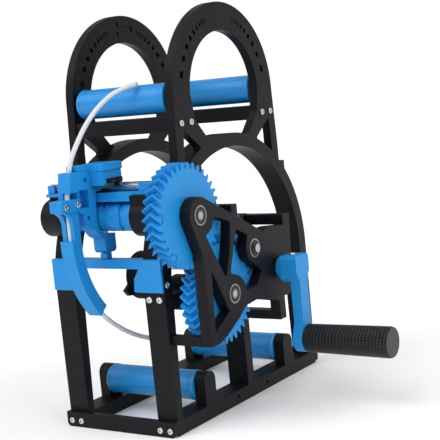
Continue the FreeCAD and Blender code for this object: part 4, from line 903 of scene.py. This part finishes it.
def groove_tree():
    tree, inputs = rule_tree(
        "crossing_grooves", "Lead", "Width", "Depth", "Wall", "Reach", "Axis Y", "Axis Z",
        Material="Material",
    )
    along, turns, outward = around_axis(tree, inputs)
    steps = add(tree, MATH, {0: along, 1: inputs["Lead"]}, operation="DIVIDE")
    gaps = []
    for hand in ("ADD", "SUBTRACT"):
        wound = add(tree, MATH, {0: steps, 1: turns}, operation=hand)
        share = add(tree, MATH, {0: wound}, operation="FRACT")
        middle = add(tree, MATH, {0: share, 1: 0.5}, operation="SUBTRACT")
        off = add(tree, MATH, {0: middle}, operation="ABSOLUTE")
        gaps.append(add(tree, MATH, {0: 0.5, 1: off}, operation="SUBTRACT"))
    nearest = add(tree, MATH, {0: gaps[0], 1: gaps[1]}, operation="MINIMUM")
    distance = add(tree, MATH, {0: nearest, 1: inputs["Lead"]}, operation="MULTIPLY")
    half = add(tree, MATH, {0: inputs["Width"], 1: 0.5}, operation="MULTIPLY")
    rim = add(tree, MATH, {0: half, 1: inputs["Wall"]}, operation="ADD")
    inside = add(
        tree, "ShaderNodeMapRange",
        {"Value": distance, "From Min": rim, "From Max": half, "To Min": 0.0,
         "To Max": inputs["Depth"]},
        interpolation_type="SMOOTHSTEP",
    )
    far = add(tree, MATH, {0: along}, operation="ABSOLUTE")
    end = add(tree, MATH, {0: inputs["Reach"], 1: half}, operation="ADD")
    within = add(tree, MATH, {0: far, 1: end}, operation="LESS_THAN")
    depth = add(tree, MATH, {0: inside, 1: within}, operation="MULTIPLY")
    return close_tree(tree, push_in(tree, inputs, outward, depth), inputs["Material"])


grooves = groove_tree()
print("rule:", grooves.name, "with", len(grooves.nodes), "nodes")

# %% [markdown]
# ## The drum's bar
#
# The drum itself is a plain bar with a small chamfer at each end. Its rings lie about as close as its
# sides are wide, so that a groove that runs at a slant is equally smooth everywhere.

# %% Turn and carve the drum
DRUM_SIDES = 220
DRUM_ROW = 0.35 * MM
DRUM_CHAMFER = 0.4 * MM

drum_axis = bar_axis(drum_low, drum_high)
drum_radius = (drum_high.y - drum_low.y) / 2
profile = [(drum_low.x, 0, 0)]
for x in stations(drum_low.x, drum_high.x, DRUM_ROW):
    edge = min(x - drum_low.x, drum_high.x - x)
    profile.append((x, drum_radius - max(0, DRUM_CHAMFER - edge), 1))
profile.append((drum_high.x, 0, 0))
drum = grown(
    "grooved_drum", lathe("drum_seed", profile, drum_axis, DRUM_SIDES), grooves,
    {"Lead": GROOVE_LEAD, "Width": GROOVE_WIDTH, "Depth": GROOVE_DEPTH, "Wall": GROOVE_WALL,
     "Reach": GROOVE_TURNS * GROOVE_LEAD, "Axis Y": drum_axis[0], "Axis Z": drum_axis[1],
     "Material": blue_pla},
)
dress(drum, "traverse_drum")
print("drum:", len(drum.data.polygons), "faces")

# %% [markdown]
# ## Many small pieces in one node
#
# All screws of a kind are one node of the solid model, and so are the bearings. To put a finished copy
# in each place, the node's mesh is first taken apart: from any point, following the edges reaches every
# point of the same solid and no other. The copies are grown on loose points and joined again.


# %% Helpers for sets of small pieces
def solid_parts(node):
    """The points of each separate solid in a node, in a fixed order."""
    bm = bmesh.new()
    bm.from_mesh(frame["nodes"][node].data)
    bm.transform(frame["nodes"][node].matrix_world)
    bmesh.ops.remove_doubles(bm, verts=bm.verts, dist=MERGE_DISTANCE)
    left = set(bm.verts)
    parts = []
    while left:
        queue = [left.pop()]
        part = []
        while queue:
            vertex = queue.pop()
            part.append(vertex.co.copy())
            for bm_edge in vertex.link_edges:
                other = bm_edge.other_vert(vertex)
                if other in left:
                    left.remove(other)
                    queue.append(other)
        parts.append(part)
    bm.free()

    def middle(part):
        return tuple(round(v, 5) for v in sum(part, Vector()) / len(part))

    return sorted(parts, key=middle)


def points_mesh(name, places):
    """A mesh of loose points, for a tree to put its copies on."""
    mesh = bpy.data.meshes.new(name)
    mesh.from_pydata([tuple(place) for place in places], [], [])
    return mesh


def joined(name, pieces):
    """One object from several that have the same materials."""
    bm = bmesh.new()
    for piece in pieces:
        bm.from_mesh(piece.data)
    whole = mesh_from(name, bm)
    for material in pieces[0].data.materials:
        whole.materials.append(material)
    for piece in pieces:
        bpy.data.objects.remove(piece)
    return put_in_scene(name, whole)


print("base_screws has", len(solid_parts("base_screws")), "solids")

# %% [markdown]
# ## One cap screw
#
# Small cap screws with a hexagon socket hold the frame together. A screw could be one turned profile,
# but the socket has six sides. So the head is a cylinder with a slightly narrower crown, and a
# six-sided prism is cut out of it. Where cylinder and crown meet, each has a face that nobody sees.
# Those two are deleted, which leaves one closed skin, and a cut only works well on such a skin.

# %% The screws' rule
HEAD_SIDES = 40
SHANK_SIDES = 24
SOCKET_SIDES = 6
WELD_DISTANCE = 0.001 * MM


def screw_tree():
    """A screw on each point, turned to the direction that the point carries."""
    tree, inputs = rule_tree(
        "socket_screws", "Head Radius", "Head Height", "Rim Share", "Crown Share", "Shank Radius",
        "Length", "Socket", Material="Material",
    )

    def stub(sides, low_radius, high_radius, length, level):
        """A straight or narrowing rod that stands at a level."""
        rod = add(
            tree, "GeometryNodeMeshCone",
            {"Vertices": sides, "Radius Bottom": low_radius, "Radius Top": high_radius,
             "Depth": length},
        )
        place = add(tree, "ShaderNodeCombineXYZ", {2: level})
        return add(tree, "GeometryNodeTransform", {0: rod, "Translation": place})

    radius, height = inputs["Head Radius"], inputs["Head Height"]
    rim = add(tree, MATH, {0: height, 1: inputs["Rim Share"]}, operation="MULTIPLY")
    crown = add(tree, MATH, {0: height, 1: rim}, operation="SUBTRACT")
    narrow = add(tree, MATH, {0: radius, 1: inputs["Crown Share"]}, operation="MULTIPLY")
    halfway = add(tree, MATH, {0: height, 1: 0.5}, operation="MULTIPLY")
    below = add(tree, MATH, {0: inputs["Length"], 1: -1.0}, operation="MULTIPLY")
    rods = [
        stub(HEAD_SIDES, radius, radius, rim, 0.0), stub(HEAD_SIDES, radius, narrow, crown, rim)
    ]
    stacked = add(tree, "GeometryNodeJoinGeometry", {0: rods})
    welded = add(tree, "GeometryNodeMergeByDistance", {0: stacked, "Distance": WELD_DISTANCE})
    centre = add(tree, "ShaderNodeSeparateXYZ", {0: add(tree, "GeometryNodeInputPosition")})
    hidden = add(
        tree, MATH, {0: centre.outputs[2], 1: rim, 2: WELD_DISTANCE}, operation="COMPARE"
    )
    skin = add(
        tree, "GeometryNodeDeleteGeometry", {0: welded, "Selection": hidden},
        domain="FACE", mode="ONLY_FACE",
    )
    prism = stub(SOCKET_SIDES, inputs["Socket"], inputs["Socket"], height, halfway)
    head = add(
        tree, "GeometryNodeMeshBoolean", {"Mesh 1": skin, "Mesh 2": prism}, operation="DIFFERENCE"
    )
    shank_radius = inputs["Shank Radius"]
    shank = stub(SHANK_SIDES, shank_radius, shank_radius, inputs["Length"], below)
    whole = add(tree, "GeometryNodeJoinGeometry", {0: [shank, head]})
    outward = add(
        tree, "GeometryNodeInputNamedAttribute", {"Name": "outward"}, data_type="FLOAT_VECTOR"
    )
    facing = add(tree, "FunctionNodeAlignRotationToVector", {"Vector": outward}, axis="Z")
    copies = add(
        tree, "GeometryNodeInstanceOnPoints",
        {"Points": inputs["Geometry"], "Instance": whole, "Rotation": facing},
    )
    return close_tree(tree, copies, inputs["Material"])


screws = screw_tree()
print("rule:", screws.name, "with", len(screws.nodes), "nodes")

# %% [markdown]
# ## The screws in their places
#
# A screw's solid tells everything that its copy needs. Its longest side is its direction. The points
# that lie further out than the shank belong to the head, so the head's level says which end it is on,
# and the rest is the shank. Each copy is a hair smaller than its solid, so that it stays inside it.

# %% Put the screws in
SHANK_RADII = {
    "base_screws": 1.5 * MM, "arch_screws": 1.5 * MM, "post_screws": 1.5 * MM,
    "clamp_screws": 1.25 * MM, "crank_screw": 1.5 * MM,
}
HEAD_BEYOND = 1.2
HEAD_RADIUS = 2.74 * MM
SOCKET_RADIUS = 1.45 * MM
RIM_SHARE = 0.7
CROWN_SHARE = 0.86
HEAD_SLACK = 0.01 * MM
SHANK_SLACK = 0.02 * MM


def screw_seats(node, shank_radius):
    """Each screw's place, outward direction, shank length and head height."""
    seats = []
    for part in solid_parts(node):
        low, high = box_of(part)
        along = max(range(3), key=lambda i: high[i] - low[i])
        axis = Vector([float(i == along) for i in range(3)])
        seat = (low + high) / 2
        head = [
            p[along] for p in part if (p - seat).cross(axis).length > shank_radius * HEAD_BEYOND
        ]
        if sum(head) / len(head) > seat[along]:
            level, top, tip, outward = min(head), max(head), low[along], axis
        else:
            level, top, tip, outward = max(head), min(head), high[along], -axis
        seat[along] = level
        seats.append((seat, outward, abs(level - tip), abs(top - level)))
    return seats


for node, shank_radius in SHANK_RADII.items():
    by_length = {}
    for seat in screw_seats(node, shank_radius):
        by_length.setdefault(round(seat[2], 5), []).append(seat)
    pieces = []
    for length, seats in by_length.items():
        seed = points_mesh(node + "_places", [place for place, *_ in seats])
        carried = seed.attributes.new("outward", "FLOAT_VECTOR", "POINT")
        carried.data.foreach_set("vector", [v for _, outward, *_ in seats for v in outward])
        values = {
            "Head Radius": HEAD_RADIUS, "Head Height": seats[0][3] - HEAD_SLACK,
            "Rim Share": RIM_SHARE, "Crown Share": CROWN_SHARE, "Socket": SOCKET_RADIUS,
            "Shank Radius": shank_radius - SHANK_SLACK, "Length": length - SHANK_SLACK,
            "Material": plated_steel,
        }
        pieces.append(grown(f"{node}_{len(pieces)}", seed, screws, values))
    dress(joined("socket_" + node, pieces), node)
    print(node, "has", sum(len(seats) for seats in by_length.values()), "screws")

# %% [markdown]
# ## One ball bearing
#
# Each shaft turns in small sealed ball bearings: a bright outer ring, a bright inner ring and a dark
# rubber seal a little below them. The balls are never seen, so they are left out. Each ring is a
# rectangle swept round a circle. The seal's faces carry a mark, and the tree gives marked faces the
# rubber at its end.

# %% The bearings' rule
BEARING_SIDES = 48


def bearing_tree():
    """A sealed bearing on each point, with its axis along X."""
    tree, inputs = rule_tree(
        "sealed_bearing", "Outer", "Bore", "Width", "Ring", "Sunk",
        Metal="Material", Seal="Material",
    )

    def ring(inner, outer, width):
        """A rectangle swept round a circle."""
        both = add(tree, MATH, {0: inner, 1: outer}, operation="ADD")
        middle = add(tree, MATH, {0: both, 1: 0.5}, operation="MULTIPLY")
        wall = add(tree, MATH, {0: outer, 1: inner}, operation="SUBTRACT")
        circle = add(
            tree, "GeometryNodeCurvePrimitiveCircle",
            {"Resolution": BEARING_SIDES, "Radius": middle},
        )
        section = add(
            tree, "GeometryNodeCurvePrimitiveQuadrilateral", {"Width": wall, "Height": width}
        )
        return add(
            tree, "GeometryNodeCurveToMesh", {"Curve": circle, "Profile Curve": section}
        )

    outer_in = add(tree, MATH, {0: inputs["Outer"], 1: inputs["Ring"]}, operation="SUBTRACT")
    inner_out = add(tree, MATH, {0: inputs["Bore"], 1: inputs["Ring"]}, operation="ADD")
    seal_width = add(tree, MATH, {0: inputs["Width"], 1: inputs["Sunk"]}, operation="SUBTRACT")
    marked_seal = add(
        tree, "GeometryNodeStoreNamedAttribute",
        {"Geometry": ring(inner_out, outer_in, seal_width), "Name": "seal", "Value": True},
        data_type="BOOLEAN", domain="FACE",
    )
    rings = [
        ring(outer_in, inputs["Outer"], inputs["Width"]),
        ring(inputs["Bore"], inner_out, inputs["Width"]),
        marked_seal,
    ]
    whole = add(tree, "GeometryNodeJoinGeometry", {0: rings})
    copies = add(
        tree, "GeometryNodeInstanceOnPoints",
        {"Points": inputs["Geometry"], "Instance": whole, "Rotation": (0, math.radians(90), 0)},
    )
    return close_tree(tree, copies, inputs["Metal"], seal=inputs["Seal"])


bearings = bearing_tree()
print("rule:", bearings.name, "with", len(bearings.nodes), "nodes")

# %% [markdown]
# ## The bearings in their places
#
# All the bearings are 16 mm across, with a bore of 5 or 8 mm. The small bore leaves room for a thicker
# ring. The nearest point to a bearing's middle line gives its bore, and bearings with the same bore
# are grown together.

# %% Fit the bearings
BEARING_RADIUS = 7.98 * MM
BORE_SLACK = 0.06 * MM
SMALL_BORE = 3.0 * MM
THICK_RING = 1.3 * MM
THIN_RING = 0.9 * MM
SEAL_SUNK = 0.8 * MM

for node in ("frame_bearings", "bracket_bearings"):
    by_bore = {}
    for part in solid_parts(node):
        low, high = box_of(part)
        centre = (low + high) / 2
        bore = min(math.dist(p[1:], centre[1:]) for p in part)
        by_bore.setdefault(round(bore / MM, 1) * MM, []).append((centre, high.x - low.x))
    pieces = []
    for bore, places in by_bore.items():
        values = {
            "Outer": BEARING_RADIUS, "Bore": bore + BORE_SLACK, "Width": places[0][1],
            "Ring": THICK_RING if bore < SMALL_BORE else THIN_RING, "Sunk": SEAL_SUNK,
            "Metal": bearing_steel, "Seal": seal_rubber,
        }
        seed = points_mesh(node + "_places", [centre for centre, _ in places])
        pieces.append(grown(f"{node}_{len(pieces)}", seed, bearings, values))
    dress(joined("sealed_" + node, pieces), node)
    print(node, "has", sum(len(places) for places in by_bore.values()), "bearings")

# %% [markdown]
# ## Everything else keeps its solid
#
# Rods, axles and the small electronics have the right shape already: a turned rod has crisp ends, and
# the pins are too small for more. A copy would add nothing, so these solids only get their finish.

# %% Finish the remaining solids
PLAIN_SOLIDS = [
    (ground_steel,
     ["roller_axles", "guide_rod", "crank_spindle", "drum_shaft", "compound_shaft",
      "lower_gear_shaft"]),
    (plated_steel, ["handle_axle", "follower_pin"]),
    (ptfe, ["tube_held"]),
    (green_board, ["circuit_board"]),
    (black_pla, ["pin_header"]),
    (gold_pin, ["header_pins"]),
]
for material, nodes in PLAIN_SOLIDS:
    for node in nodes:
        for material_slot in frame["nodes"][node].material_slots:
            material_slot.material = material
print(sum(len(nodes) for _, nodes in PLAIN_SOLIDS), "solids have their finish")
